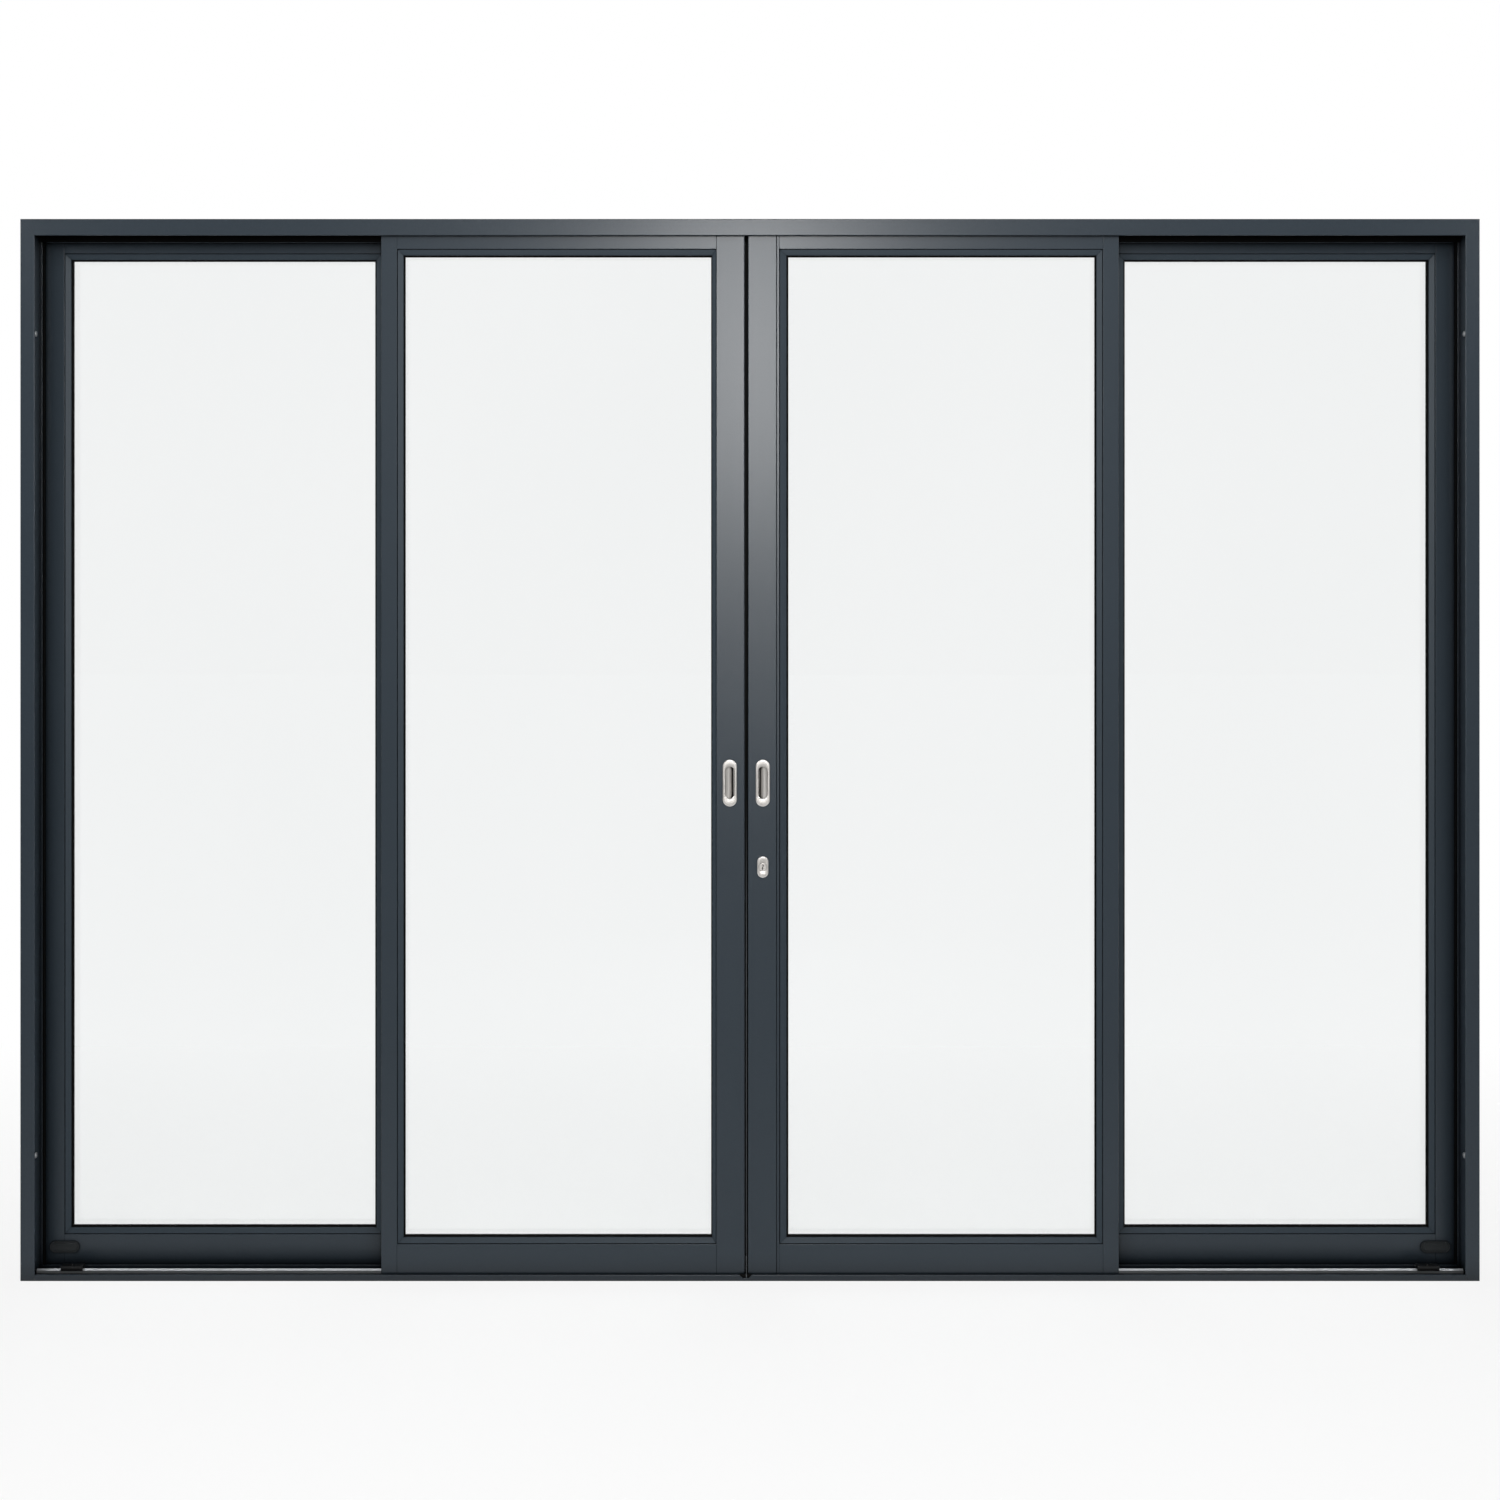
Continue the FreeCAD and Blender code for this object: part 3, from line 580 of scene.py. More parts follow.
def carve(piece, cutter):
    """Cut the cutter's shape out of the piece and throw the cutter away."""
    clear_selection()
    piece.select_set(True)
    bpy.context.view_layer.objects.active = piece
    cut = piece.modifiers.new("cut", "BOOLEAN")
    cut.operation = "DIFFERENCE"
    cut.object = cutter
    bpy.ops.object.modifier_apply(modifier="cut")
    bpy.data.objects.remove(cutter)


def box_between(name, low, high):
    """A box from its lowest to its highest corner, open for editing."""
    clear_selection()
    middle = [(a + b) / 2 for a, b in zip(low, high)]
    bpy.ops.mesh.primitive_cube_add(size=1.0, location=middle)
    bpy.ops.transform.resize(value=[b - a for a, b in zip(low, high)])
    return open_mesh(name)


upright = (0.0, 0.0, 0.0)
front_to_back = (math.pi / 2, 0.0, 0.0)
left_to_right = (0.0, math.pi / 2, 0.0)


def round_bar(name, centre, radius, length, corners, lies=upright):
    """A cylinder, open for editing."""
    clear_selection()
    bpy.ops.mesh.primitive_cylinder_add(
        vertices=corners, radius=radius, depth=length, location=centre, rotation=lies
    )
    return open_mesh(name)


def finish_piece(piece, finish, slot, body, *stands_for):
    """Give a finished piece its material and its body, and hide the nodes that it replaces. The slot
    is not used.
    """
    piece.data.materials.clear()
    piece.data.materials.append(finish)
    if stands_for:
        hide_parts(*stands_for)
    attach(piece, body)
    faces = sum(len(p.vertices) - 2 for p in piece.data.polygons)
    print(piece.name, "has", faces, "triangles")


def oval_disc(name, centre, length, width, depth, axis=2, corners=96):
    """A disc that faces front and back, stretched along an axis to an oval with straight sides."""
    half_step = math.pi / corners
    radius = width / 2 / math.cos(half_step)
    piece = round_bar(name, centre, radius, depth, corners, (math.pi / 2, half_step, 0.0))
    bpy.ops.mesh.select_all(action="SELECT")
    spread_ends(centre, (length - width) / 2, axis)
    return piece


# %% [markdown]
# ## Flush pulls
# Each leaf is slid by an oval cup let into its stile. A rim with a slope all round sits on the
# face, a soft lip runs round the hollow, and the floor of the hollow falls away towards the gap, so
# that fingertips hook behind it. One cup is modelled, and its mirrored copies make the other three.

# %% Model one flush pull
rim_rise = 1.5 * millimetre
leaf_face = pull_low.y + rim_rise
pull_middle = (pull_low + pull_high) / 2
pull_length = pull_high.z - pull_low.z
pull_width = pull_high.x - pull_low.x
print("pull:", round(pull_length, 4), "by", round(pull_width, 4))

edge_height = 0.5 * millimetre
slope_width = 1.7 * millimetre
lip_width = 1.0 * millimetre
lip_drop = 1.2 * millimetre
lip_shift = 0.7 * millimetre
hollow_length = 66.0 * millimetre
hollow_width = 19.0 * millimetre
hollow_shallow = 0.6 * millimetre
hollow_deep = 11.0 * millimetre
# Where the floor folds, from the side away from the gap, and how steeply it falls from there on.
first_slope = 0.12
folds = ((8.5, 0.35), (11.4, 0.8), (13.3, 1.6), (14.8, 3.1), (16.2, 0.0))
cup_wall = 1.5 * millimetre

left_pull = oval_disc(
    "left_pull_front",
    (pull_middle.x, leaf_face - edge_height / 2, pull_middle.z),
    pull_length,
    pull_width,
    edge_height,
)
end_shift = (hollow_length - hollow_width) / 2 - (pull_length - pull_width) / 2

# The cup's back first: a loop as wide as the hollow and its wall, pushed into the stile.
pick("FACE", facing("back"))
inset((pull_width - hollow_width) / 2 - cup_wall)
spread_ends(pull_middle, end_shift)
extrude((0.0, hollow_deep + cup_wall, 0.0))

# The front: the sloping rim, the flat, the lip and the hollow.
pick("FACE", facing("front"))
inset(slope_width, rim_rise - edge_height)
inset((pull_width - hollow_width) / 2 - slope_width - lip_width)
spread_ends(pull_middle, end_shift)
inset(lip_width, -lip_drop)
bpy.ops.transform.translate(value=(0.0, 0.0, lip_shift))
extrude((0.0, rim_rise - lip_drop + hollow_shallow, 0.0))

# The floor leans towards the gap between the leaves, which is on the right of this pull. Then it is
# cut along each fold, and all that lies beyond is stretched deeper, until a narrow trench is left.
away_x = pull_middle.x - hollow_width / 2
floor_y = leaf_face + hollow_shallow
lean = math.asin(first_slope)
away_edge = (away_x, floor_y, pull_middle.z)
bpy.ops.transform.rotate(value=-lean, orient_axis="Z", center_override=away_edge)
bpy.ops.transform.resize(value=(1.0 / math.cos(lean), 1.0, 1.0), center_override=away_edge)


def pick_floor(beyond):
    """Select the hollow's floor past a sideways place, and not the lip above nor the cup's back."""
    highest = leaf_face + 0.1 * millimetre
    deepest = leaf_face + hollow_deep + 0.5 * millimetre
    pick("FACE", lambda co, face: (
        face.normal.y < -0.2 and highest < co.y < deepest and co.x > beyond
    ))


slope = first_slope
fold_x = away_x
for place, next_slope in folds:
    floor_y += slope * (away_x + place * millimetre - fold_x)
    fold_x = away_x + place * millimetre
    pick_floor(fold_x - hollow_width)
    bpy.ops.mesh.bisect(plane_co=(fold_x, 0.0, 0.0), plane_no=(1.0, 0.0, 0.0))
    pick_floor(fold_x)
    on_fold = (fold_x, floor_y, pull_middle.z)
    bpy.ops.transform.resize(value=(1.0, next_slope / slope, 1.0), center_override=on_fold)
    slope = next_slope
    print("fold at", place, "mm, depth", round((floor_y - leaf_face) / millimetre, 1), "mm")
soften(left_pull, 0.2 * millimetre, 2, 22.0)

# %% Copy the pull to the leaf's rear and to the other leaf
right_low, right_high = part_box("right_leaf_pulls")
between = (pull_middle.x + (right_low.x + right_high.x) / 2) / 2
about_leaf = (pull_middle.x, leaf_middle, pull_middle.z)
about_gap = (between, leaf_middle, pull_middle.z)
left_rear = copy_piece(left_pull, "left_pull_rear", (1.0, -1.0, 1.0), about_leaf)
right_pull = copy_piece(left_pull, "right_pull_front", (-1.0, 1.0, 1.0), about_gap)
right_rear = copy_piece(left_pull, "right_pull_rear", (-1.0, -1.0, 1.0), about_gap)
for pull in (left_pull, left_rear):
    finish_piece(pull, nickel, "satin_nickel", "left_leaf", "left_leaf_pulls")
for pull in (right_pull, right_rear):
    finish_piece(pull, nickel, "satin_nickel", "right_leaf", "right_leaf_pulls")

# %% [markdown]
# ## Lock plate
# Below the right pull an oval plate covers the hole of the lock. It has the same sloping rim, and a
# round hole for the cylinder. The hole is made by insetting the oval until its ends meet in a
# circle, on the front and on the back, and then by bridging the two circles.

# %% Model the lock plates
plate_low, plate_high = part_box("lock_escutcheons")
plug_low, plug_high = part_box("lock_cylinder_plug")
plate_middle = (plate_low + plate_high) / 2
plate_length = plate_high.z - plate_low.z
plate_width = plate_high.x - plate_low.x
plug_radius = (plug_high.x - plug_low.x) / 2
hole_radius = plug_radius + 0.1 * millimetre
ends_meet = -(plate_length - plate_width) / 2

lock_plate = oval_disc(
    "lock_plate_front",
    (plate_middle.x, leaf_face - edge_height / 2, plate_middle.z),
    plate_length,
    plate_width,
    edge_height,
)
pick("FACE", facing("back"))
inset(plate_width / 2 - hole_radius)
spread_ends(plate_middle, ends_meet)
pick("FACE", facing("front"))
inset(slope_width, rim_rise - edge_height)
inset(plate_width / 2 - slope_width - hole_radius)
spread_ends(plate_middle, ends_meet)


def is_hole(co, face):
    away = math.hypot(co.x - plate_middle.x, co.z - plate_middle.z)
    return abs(face.normal.y) > 0.9 and away < 0.5 * millimetre


print("hole faces:", pick("FACE", is_hole))
bpy.ops.mesh.bridge_edge_loops()
soften(lock_plate, 0.2 * millimetre, 2, 22.0)
about_plate = (plate_middle.x, leaf_middle, plate_middle.z)
rear_plate = copy_piece(lock_plate, "lock_plate_rear", (1.0, -1.0, 1.0), about_plate)
for plate in (lock_plate, rear_plate):
    finish_piece(plate, nickel, "satin_nickel", "right_leaf", "lock_escutcheons")

# %% [markdown]
# ## Key cylinder
# The cylinder turns with the key. Its face has a fine turned rim and a keyway whose sides step in
# and out, because a plain slot would take any key. The keyway is cut by a Boolean modifier with a
# small blade that has the same stepped outline.

# %% Model the key cylinder
plug_middle = (plug_low + plug_high) / 2
plug_length = plug_high.y - plug_low.y
plug = round_bar("key_cylinder", plug_middle, plug_radius, plug_length, 72, front_to_back)
ring_slope = 0.25 * millimetre
# A narrow sunk ring runs round each end.
for side in ("front", "back"):
    pick("FACE", facing(side))
    inset(0.5 * millimetre)
    inset(ring_slope, -ring_slope)
    inset(0.35 * millimetre)
    inset(ring_slope, ring_slope)
soften(plug, 0.12 * millimetre, 2, 50.0)

keyway_width = 2.4 * millimetre
keyway_length = 11.0 * millimetre
keyway_depth = 9.0 * millimetre
for end in (plug_low.y, plug_high.y):
    blade = box_between(
        "keyway_blade",
        (plug_middle.x - keyway_width / 4, end - keyway_depth, plug_middle.z - keyway_length / 2),
        (plug_middle.x + keyway_width / 4, end + keyway_depth, plug_middle.z + keyway_length / 2),
    )
    bpy.ops.mesh.select_all(action="SELECT")
    bpy.ops.mesh.subdivide(number_cuts=3)
    pick("FACE", facing("right", lambda co: co.z > plug_middle.z))
    extrude((keyway_width / 2, 0.0, 0.0))
    pick("FACE", facing("left", lambda co: co.z < plug_middle.z))
    extrude((-keyway_width / 2, 0.0, 0.0))
    carve(plug, blade)
merge_doubles()
bpy.ops.object.shade_smooth_by_angle(angle=math.radians(35.0))
finish_piece(plug, nickel, "satin_nickel", "lock_cylinder", "lock_cylinder_plug")

# %% [markdown]
# ## Track end stops
# A black plastic block sits astride the rail near each jamb and stops the leaf. It is a box with
# rounded corners, a saddle cut for the rail, ribs on the end that the leaf comes to, and a round
# hollow on top for its screw.

# %% Model the end stops
stops_low, stops_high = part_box("track_end_stops")
stop_length = 45.5 * millimetre
ridge_top = 15.5 * millimetre
ridge_half = 2.2 * millimetre
rib_depth = 1.2 * millimetre
# How far a cutter stands out beyond the piece that it cuts.
past = 10.0 * millimetre
stop_left = stops_high.x - stop_length
stop = box_between("right_end_stop", (stop_left, stops_low.y, stops_low.z), stops_high)
# The end that the leaf comes to: five narrow strips, of which every second one is pushed back.
width = stops_high.y - stops_low.y
for share in (0.2, 0.4, 0.6, 0.8):
    cut_across(1, stops_low.y + share * width)
for share in (0.3, 0.7):
    strip = stops_low.y + share * width
    pick("FACE", facing("left", lambda co: abs(co.y - strip) < 0.05 * width))
    inset(no_width)
    extrude((rib_depth, 0.0, 0.0))
stop_middle = Vector((stop_left + stop_length / 2, (stops_low.y + stops_high.y) / 2, stops_high.z))
saddle = box_between(
    "saddle",
    (stop_left - past, stop_middle.y - ridge_half, stops_low.z - past),
    (stops_high.x + past, stop_middle.y + ridge_half, ridge_top),
)
carve(stop, saddle)
well = round_bar("screw_well", stop_middle, 4.0 * millimetre, 6.0 * millimetre, 40)
pick("FACE", facing("down"))
bpy.ops.transform.resize(value=(0.8, 0.8, 1.0))
carve(stop, well)
soften(stop, 0.9 * millimetre, 3, 60.0)
left_stop = copy_piece(stop, "left_end_stop", (-1.0, 1.0, 1.0))
for piece in (stop, left_stop):
    finish_piece(piece, black_plastic, "black_plastic", "frame", "track_end_stops")

# %% [markdown]
# ## Drain covers
# Low on the outer stile of each side light an oblong cap closes the hole where rain drains out of
# the sash. It has a raised rim, a sunk groove inside it, and a flap with a shallow crease along it.

# %% Model the drain covers
covers_low, covers_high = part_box("drain_covers")
cover_length = 61.0 * millimetre
cover_height = covers_high.z - covers_low.z
cover_depth = covers_high.y - covers_low.y
cover_middle = (covers_low + covers_high) / 2
cover_middle.x = covers_high.x - cover_length / 2
cover = oval_disc("right_drain_cover", cover_middle, cover_length, cover_height, cover_depth, axis=0)
# From the outside in: the rim, the groove, the flap and its crease.
pick("FACE", facing("front"))
inset(1.8 * millimetre)
inset(0.4 * millimetre, -1.6 * millimetre)
inset(1.4 * millimetre)
inset(0.4 * millimetre, 1.2 * millimetre)
inset(0.8 * millimetre)
inset(cover_height / 2 - 5.3 * millimetre, -0.7 * millimetre)
soften(cover, 0.3 * millimetre, 2, 30.0)
left_cover = copy_piece(cover, "left_drain_cover", (-1.0, 1.0, 1.0))
for piece in (cover, left_cover):
    finish_piece(piece, cover_plastic, "black_plastic", "frame", "drain_covers")

# %% [markdown]
# ## Meeting seal
# A rubber seal closes the gap between the leaves. It is one long extrusion with a foot, a fin and a
# round bulb. It starts as the bulb, a long cylinder. The side that looks at the left leaf is pulled
# out to a fin, and the fin's end is pulled out both ways to the foot.

# %% Model the meeting seal
seal_middle = (seal_low + seal_high) / 2
bulb_radius = 1.5 * millimetre
foot_thickness = 1.0 * millimetre
bulb_place = (seal_high.x - bulb_radius, seal_middle.y, seal_middle.z)
seal = round_bar("meeting_seal_strip", bulb_place, bulb_radius, seal_high.z - seal_low.z, 24)
pick("FACE", facing("left"))
extrude((-0.1 * millimetre, 0.0, 0.0))
fin_start = min(co.x for co in chosen_points().values())
foot_edge = seal_low.x + foot_thickness
bpy.ops.transform.resize(value=(0.0, 1.0, 1.0), center_override=(fin_start, 0.0, 0.0))
extrude((foot_edge - fin_start, 0.0, 0.0))
extrude((-foot_thickness, 0.0, 0.0))
depths = [co.y for co in chosen_points().values()]
spread = (seal_high.y - seal_low.y - max(depths) + min(depths)) / 2
for side, way in (("front", -1.0), ("back", 1.0)):
    pick("FACE", facing(side, lambda co: co.x < foot_edge))
    extrude((0.0, way * spread, 0.0))
soften(seal, 0.15 * millimetre, 2, 40.0)
finish_piece(seal, seal_rubber, "gasket", "left_leaf", "meeting_seal")

# %% [markdown]
# ## Flap, foot blocks and brush at the meeting gap
# Behind the bulb a black flap on the right leaf covers the last millimetre of the gap, so no light
# shines between the leaves. At the foot two rubber blocks, one on each leaf and one behind the other,
# carry the seal down past the rail; the left one has the seal's painted grey highlight down its
# crown. Where the leaves meet over the notch in the sill, a dense black brush stands behind the lip,
# with a fin that carries the same painted grey highlight.

# %% Model the flap
stile_low, stile_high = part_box("right_leaf_meeting_stile")
flap_front = seal_middle.y + 8.5 * millimetre
flap_thickness = 2.0 * millimetre
flap_reach = 5.2 * millimetre
flap = box_between(
    "meeting_flap",
    (stile_low.x - flap_reach, flap_front, seal_low.z),
    (stile_low.x, flap_front + flap_thickness, stile_high.z - flap_thickness),
)
foot_start = stile_low.x - 1.4 * millimetre
cut_across(0, foot_start)
for side, way in (("front", -1.0), ("back", 1.0)):
    pick("FACE", facing(side, lambda co: co.x > foot_start))
    extrude((0.0, way * flap_thickness, 0.0))
soften(flap, 0.3 * millimetre, 2, 60.0)
finish_piece(flap, rubber, "gasket", "right_leaf")

# %% Model the two foot blocks
foot_top = 45.0 * millimetre
foot_depth = 3.5 * millimetre
foot_bottom = stile_low.z
groove_depth = 0.5 * millimetre


def foot_block(name, left, right, face):
    """A rubber block with three grooves across its front. Its face is set back from the leaf's."""
    block = box_between(name, (left, face, foot_bottom), (right, face + foot_depth, foot_top))
    half_groove = 0.035
    grooves = (0.185, 0.385, 0.585)
    for share in grooves:
        for edge in (share - half_groove, share + half_groove):
            cut_across(2, foot_bottom + edge * (foot_top - foot_bottom))
    for share in grooves:
        height = foot_bottom + share * (foot_top - foot_bottom)
        pick("FACE", facing("front", lambda co: abs(co.z - height) < millimetre / 2))
        extrude((0.0, groove_depth, 0.0))
    soften(block, 0.2 * millimetre, 2, 60.0)
    return block


left_foot = foot_block("left_foot_block", seal_low.x, seal_high.x, leaf_face + 8.0 * millimetre)
right_foot = foot_block(
    "right_foot_block", stile_low.x - 2.2 * millimetre, stile_low.x, leaf_face + foot_depth
)
# The left block's rubber paints the seal's grey highlight line on it.
finish_piece(left_foot, seal_rubber, "gasket", "left_leaf")
finish_piece(right_foot, rubber, "gasket", "right_leaf")

# %% Model the brush over the notch
notch_middle = -9.2 * millimetre
brush_half = 12.0 * millimetre
brush_front = front + 3.0 * millimetre
brush_depth = 3.0 * millimetre
sill_floor = 3.0 * millimetre
brush_top = 12.2 * millimetre
brush = box_between(
    "meeting_brush",
    (notch_middle - brush_half, brush_front, sill_floor),
    (notch_middle + brush_half, brush_front + brush_depth, brush_top),
)
fin_half = 0.9 * millimetre
for edge in (crown - fin_half, crown + fin_half):
    cut_across(0, edge)
pick("FACE", facing("front", lambda co: abs(co.x - crown) < fin_half))
inset(no_width)
extrude((0.0, -0.4 * millimetre, 0.0))
soften(brush, 0.15 * millimetre, 2, 60.0)
# The brush's fin gets the seal's painted grey highlight.
finish_piece(brush, seal_rubber, "gasket", "frame")

# %% [markdown]
# ## Seals round the rear track
# A black seal is clipped to the front of the head's rib, and a wedge of rubber fills the last few
# millimetres between each jamb and its side light. They are real kinds of seal, but placed and
# widened so that their black stands in for the shade that lies in bands round the side lights.

# %% Model the head seal and the jamb wedges
light_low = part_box("right_light_jamb_stile")[0]
channel_side = 1479.4 * millimetre
rib_half = 1.5 * millimetre
sill_top = 13.0 * millimetre
head_lip = 2142.0 * millimetre
seal_bottom = 2144.0 * millimetre
seal_top = 2162.0 * millimetre
seal_front = -rib_half - 3.0 * millimetre
# Partly painted shade: a black strip where the head's shade falls.
head_seal = box_between(
    "head_seal", (-channel_side, seal_front, seal_bottom), (channel_side, -rib_half, seal_top)
)
pick("EDGE", lambda co, edge: (
    co.y < seal_front + millimetre / 2 and co.z < seal_bottom + millimetre
))
bpy.ops.mesh.bevel(offset=1.8 * millimetre, segments=3)
soften(head_seal, 0.2 * millimetre, 2, 60.0)
finish_piece(head_seal, rubber, "gasket", "frame")

# Partly painted shade: the wedge is widened so that its black reads as the jamb's shade.
wedge = box_between(
    "right_jamb_wedge",
    (channel_side - 7.9 * millimetre, rib_half, sill_top),
    (channel_side, light_low.y, head_lip),
)
# A groove down its front leaves two soft fins, as the real strip has.
groove_left = channel_side - 5.4 * millimetre
groove_right = channel_side - 2.6 * millimetre
for edge in (groove_left, groove_right):
    cut_across(0, edge)
pick("FACE", facing("front", lambda co: groove_left < co.x < groove_right))
extrude((0.0, 1.6 * millimetre, 0.0))
soften(wedge, 0.8 * millimetre, 3, 60.0)
left_wedge = copy_piece(wedge, "left_jamb_wedge", (-1.0, 1.0, 1.0))
for piece in (wedge, left_wedge):
    finish_piece(piece, rubber, "gasket", "frame")

# %% [markdown]
# ## Fixing screws
# Six pan-head screws hold the frame to the wall: two in each jamb and two in the head. The record
# states where their holes are. One screw is modelled with its cross recess, and the others are turned
# copies. The thread is hidden, so only the head and a short neck are made.

# %% Model one screw and copy it to the other holes
mounts = {mount["name"]: mount for mount in frame["record"]["mounts"]}


def hole_places(name, axis):
    mount = mounts[name]
    key = "spacing_y_mm" if axis == 2 else "spacing_x_mm"
    reach = mount["dims"][key] * millimetre / 2
    places = []
    for side in (-1, 1):
        place = Vector(mount["pos_m"])
        place[axis] += side * reach
        places.append(place)
    return places


head_radius = 6.0 * millimetre
head_thickness = 2.4 * millimetre
neck_radius = 3.4 * millimetre
neck_length = 6.0 * millimetre
slot_width = 1.2 * millimetre
slot_length = 5.0 * millimetre
slot_depth = 2.2 * millimetre
left_holes = hole_places("left_jamb_screws", 2)
screw_place = left_holes[0]
head_place = screw_place + Vector((head_thickness / 2 + 0.05 * millimetre, 0.0, 0.0))
screw = round_bar("screw", head_place, head_radius, head_thickness, 40, left_to_right)
pick("FACE", facing("left"))
inset(head_radius - neck_radius)
extrude((-neck_length, 0.0, 0.0))
pick("FACE", facing("right"))
# Two steps of slope make the head's dome.
inset(1.6 * millimetre, 0.5 * millimetre)
inset(2.0 * millimetre, 0.25 * millimetre)
tip = screw_place + Vector((head_thickness + 0.8 * millimetre, 0.0, 0.0))
for wide, tall in ((slot_width, slot_length), (slot_length, slot_width)):
    reach = Vector((slot_depth, wide / 2, tall / 2))
    carve(screw, box_between("cross", tip - reach, tip + reach))
soften(screw, 0.15 * millimetre, 2, 40.0)


def turned_screw(place, angle, axis):
    return moved_copy(screw, "screw_copy", place - screw_place, angle, axis, screw_place)


screws = [screw, turned_screw(left_holes[1], 0.0, "Z")]
screws += [turned_screw(place, math.pi, "Z") for place in hole_places("right_jamb_screws", 2)]
screws += [turned_screw(place, -math.pi / 2, "Y") for place in hole_places("head_screws", 0)]
clear_selection()
for piece in screws:
    piece.select_set(True)
bpy.context.view_layer.objects.active = screw
bpy.ops.object.join()
screw.name = "frame_screws"
points = [vert.co for vert in screw.data.vertices]
for end, pick_end in (("from", min), ("to", max)):
    print("screws reach", end, [round(pick_end(p[i] for p in points), 4) for i in range(3)])
finish_piece(screw, zinc, "roller_steel", "frame")

# %% [markdown]
# ## Rollers
# Two rollers carry each leaf on the ridge of the rail. Each is a zinc-plated channel with a grooved
# wheel in it on a riveted pin. They show only from below and from the ends.

# %% Model one roller
rollers_low, rollers_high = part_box("left_leaf_rollers")
carriage_length = 84.0 * millimetre
wheel_radius = 13.5 * millimetre
wheel_width = 12.0 * millimetre
wheel_groove_depth = 2.4 * millimetre
groove_half_width = 2.6 * millimetre
carriage_top = rollers_high.z
carriage_bottom = carriage_top - 24.0 * millimetre
channel_wall = 2.0 * millimetre
roller_place = Vector((
    rollers_low.x + carriage_length / 2,
    (rollers_low.y + rollers_high.y) / 2,
    rollers_low.z + wheel_radius,
))
carriage = box_between(
    "carriage",
    (rollers_low.x, rollers_low.y, carriage_bottom),
    (rollers_low.x + carriage_length, rollers_high.y, carriage_top),
)
pick("FACE", facing("down"))
inset(channel_wall)
extrude((0.0, 0.0, carriage_top - carriage_bottom - channel_wall))
opening = box_between(
    "opening",
    (rollers_low.x - past, rollers_low.y + channel_wall, carriage_bottom - past),
    (
        rollers_low.x + carriage_length + past,
        rollers_high.y - channel_wall,
        carriage_top - 6.0 * millimetre,
    ),
)
carve(carriage, opening)
soften(carriage, 0.6 * millimetre, 2, 60.0)

wheel = round_bar("wheel", roller_place, wheel_radius, wheel_width, 64, front_to_back)
for offset in (-groove_half_width, 0.0, groove_half_width):
    cut_across(1, roller_place.y + offset)
# The ring of points in the middle is drawn in, which makes the groove.
pick("VERT", lambda co, vert: abs(co.y - roller_place.y) < millimetre / 2)
shrink = 1.0 - wheel_groove_depth / wheel_radius
bpy.ops.transform.resize(value=(shrink, 1.0, shrink), center_override=roller_place)
pick("FACE", lambda co, face: (
    abs(face.normal.y) > 0.9 and abs(co.y - roller_place.y) > wheel_width / 3
))
# From the outside in: the tyre, the sunk disc and the hub.
inset(2.0 * millimetre)
inset(0.5 * millimetre, -1.0 * millimetre)
inset(5.5 * millimetre)
inset(0.4 * millimetre, 0.8 * millimetre)
soften(wheel, 0.3 * millimetre, 2, 30.0)

pin_length = rollers_high.y - rollers_low.y
pin = round_bar("pin", roller_place, 3.0 * millimetre, pin_length, 32, front_to_back)
pick("FACE", lambda co, face: abs(face.normal.y) > 0.9)
inset(0.8 * millimetre)
inset(0.4 * millimetre, -0.3 * millimetre)
soften(pin, 0.2 * millimetre, 2, 40.0)

# %% Put the rollers together and copy them along both leaves
clear_selection()
for piece in (carriage, wheel, pin):
    piece.data.materials.append(zinc)
    piece.select_set(True)
bpy.context.view_layer.objects.active = carriage
bpy.ops.object.join()
first_roller = bpy.context.object
first_roller.name = "left_roller_outer"
right_rollers_low, right_rollers_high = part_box("right_leaf_rollers")


def roller_at(name, place):
    return moved_copy(first_roller, name, (place - roller_place.x, 0.0, 0.0))


second = roller_at("left_roller_inner", rollers_high.x - carriage_length / 2)
third = roller_at("right_roller_inner", right_rollers_low.x + carriage_length / 2)
fourth = roller_at("right_roller_outer", right_rollers_high.x - carriage_length / 2)
for roller in (first_roller, second):
    finish_piece(roller, zinc, "roller_steel", "left_leaf", "left_leaf_rollers")
for roller in (third, fourth):
    finish_piece(roller, zinc, "roller_steel", "right_leaf", "right_leaf_rollers")

# %% [markdown]
# ## The studio
# The door stands on a pale floor against plain white. The world is white only to the rays that the
# camera, gloss and glass send out, so that the lamps and a plainer world light set the tones.

# %% Floor and world
room_level = 0.22
plain_level = 0.23


def seen_by(build):
    """Three values that are 1 for rays of the camera, of gloss and through glass."""
    kinds = ("Camera", "Glossy", "Transmission")
    return [build.add("ShaderNodeLightPath", output=f"Is {kind} Ray") for kind in kinds]


clear_selection()
bpy.ops.mesh.primitive_plane_add(size=40.0, location=(0.0, 0.0, 0.0))
floor = bpy.context.object
floor.name = "studio_floor"
floor_finish, build, shader, output, place = new_finish("studio_floor_white")
cloud = noise(build, place, scale=2.0)
connect(build, shader, {
    "Base Color": blend_colours(build, cloud, (0.58, 0.58, 0.58), (0.62, 0.62, 0.62)),
    "Roughness": 0.8,
})
white = build.add("ShaderNodeEmission", {}, {"Color": (1.0, 1.0, 1.0, 1.0), "Strength": 1.0})
camera_rays, glossy_rays, glass_rays = seen_by(build)
# Close to the door the floor is a little less than white, so that its shadow shows.
depth = along(build, place, 1)
share = fade(build, build.math("ABSOLUTE", depth), 0.3, 1.8, 0.85, 1.0)
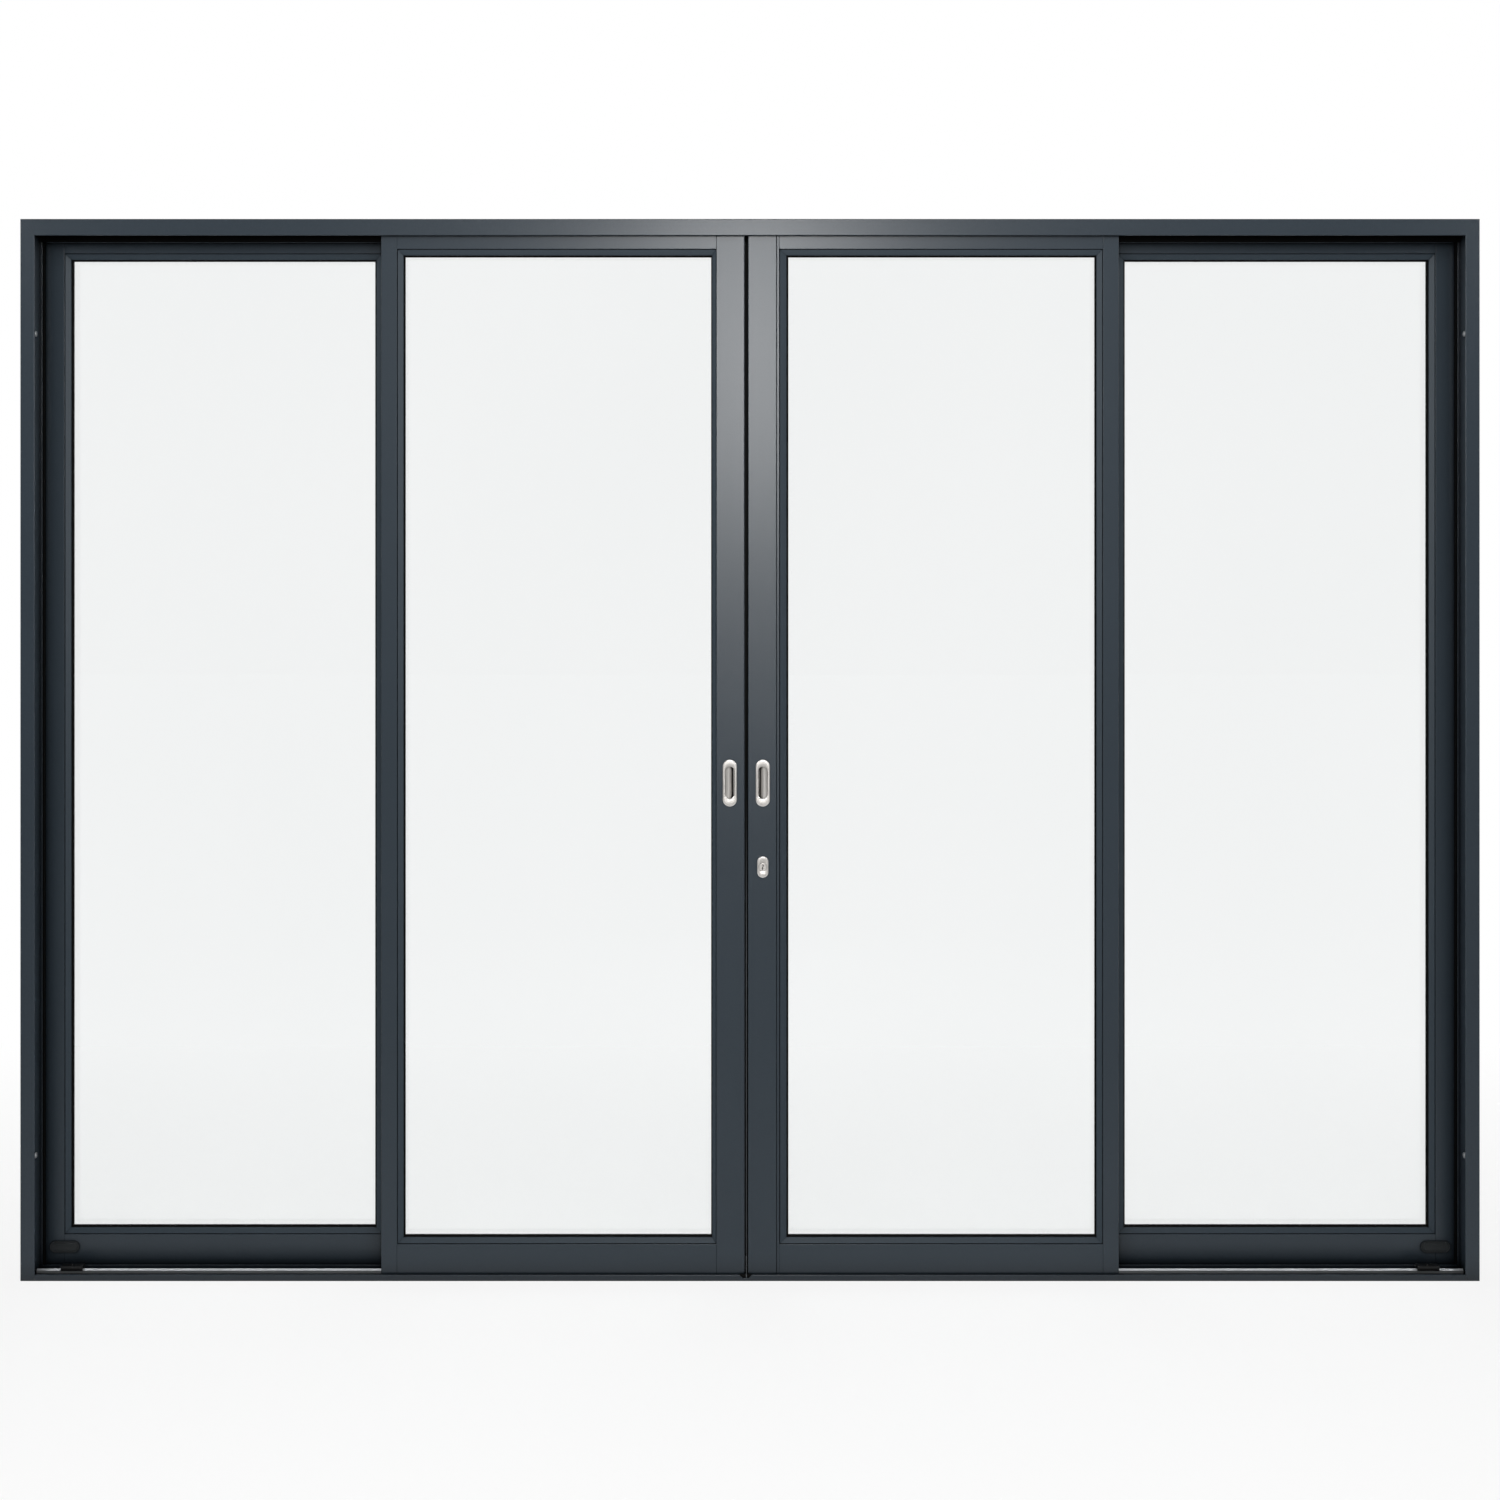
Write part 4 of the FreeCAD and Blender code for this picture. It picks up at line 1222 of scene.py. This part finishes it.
# In front of the door the floor dims with distance for gloss alone, as the room above it does, so
# that the panes mirror no bright horizon and the coat stays dark low down.
room_floor = fade(build, depth, -1.6, -0.1, room_level, 1.0)
shown = build.math("MINIMUM", camera_rays + glass_rays, 1.0)
seen = build.math("MAXIMUM", shown, glossy_rays * room_floor) * share
blend_shaders(build, seen, Field(build.tree, shader.outputs[0]), white, output)
floor.data.materials.append(floor_finish)

world = bpy.data.worlds.new("studio_world")
bpy.context.scene.world = world
world.use_nodes = True
build = Field(world.node_tree)
background = world.node_tree.nodes["Background"]
camera_rays, glossy_rays, glass_rays = seen_by(build)
# Gloss sees the white wall behind the door and a dimmer room in front of it.
direction = build.add("ShaderNodeTexCoord", output="Generated")
room = fade(build, along(build, direction, 1), -0.9, 0.1, room_level, 1.0, smooth=True)
shown = build.math("MINIMUM", camera_rays + glass_rays, 1.0)
strength = shown + (1.0 - shown) * (glossy_rays * room + (1.0 - glossy_rays) * plain_level)
world.node_tree.links.new(strength.socket, background.inputs["Strength"])
background.inputs["Color"].default_value = (1.0, 1.0, 1.0, 1.0)


# %% [markdown]
# ## Lamps
# A slim upright lamp above the camera gives the broad glow at the top of the meeting stiles, and a
# weaker one below it carries the glow down to the lock. Both are slim so that the panes show nothing
# of them. Two more past the upper corners draw bright lines down the upright edges there. Two wide,
# weak lamps high in front and behind fill the rest.

# %% Add the lamps
def area_lamp(name, place, aim, size, energy):
    data = bpy.data.lights.new(name, "AREA")
    data.shape = "RECTANGLE"
    data.size, data.size_y = size
    data.energy = energy
    lamp = bpy.data.objects.new(name, data)
    bpy.context.scene.collection.objects.link(lamp)
    lamp.location = place
    lamp.rotation_euler = (Vector(aim) - Vector(place)).to_track_quat("-Z", "Y").to_euler()
    lamp.visible_camera = False
    lamp.visible_transmission = False
    return lamp


area_lamp("key_lamp", (0.0, -3.6, 2.35), (0.0, 0.0, 2.35), (0.2, 1.3), 76.0)
area_lamp("low_key_lamp", (0.0, -3.6, 1.2), (0.0, 0.0, 1.2), (0.2, 0.9), 8.0)
area_lamp("front_lamp", (0.0, -3.4, 4.2), (0.0, 0.0, 1.2), (4.0, 1.4), 47.0)
area_lamp("left_edge_lamp", (-2.4, -1.3, 2.7), (-1.4, 0.0, 2.0), (0.12, 0.9), 8.0)
area_lamp("right_edge_lamp", (2.4, -1.3, 2.7), (1.4, 0.0, 2.0), (0.12, 0.9), 8.0)
area_lamp("rear_lamp", (0.0, 3.6, 3.6), (0.0, 0.0, 1.0), (4.0, 1.6), 70.0)

# %% [markdown]
# ## Camera
# The photograph looks straight at the door from about 3.9 m, with the eye 1.49 m above the floor.
# The upright lines stay parallel, so the picture is framed with lens shift and not by tilting.

# %% Set the camera
eye_distance = 3.85
eye_height = 1.486
camera_data = bpy.data.cameras.new("photo_camera")
camera = bpy.data.objects.new("photo_camera", camera_data)
bpy.context.scene.collection.objects.link(camera)
camera.location = (0.0, front - eye_distance, eye_height)
camera.rotation_euler = (math.radians(90.0), 0.0, 0.0)
camera_data.sensor_width = 36.0
camera_data.lens = 44.96
camera_data.shift_y = -0.128
bpy.context.scene.camera = camera
bpy.context.scene.view_settings.view_transform = "Standard"
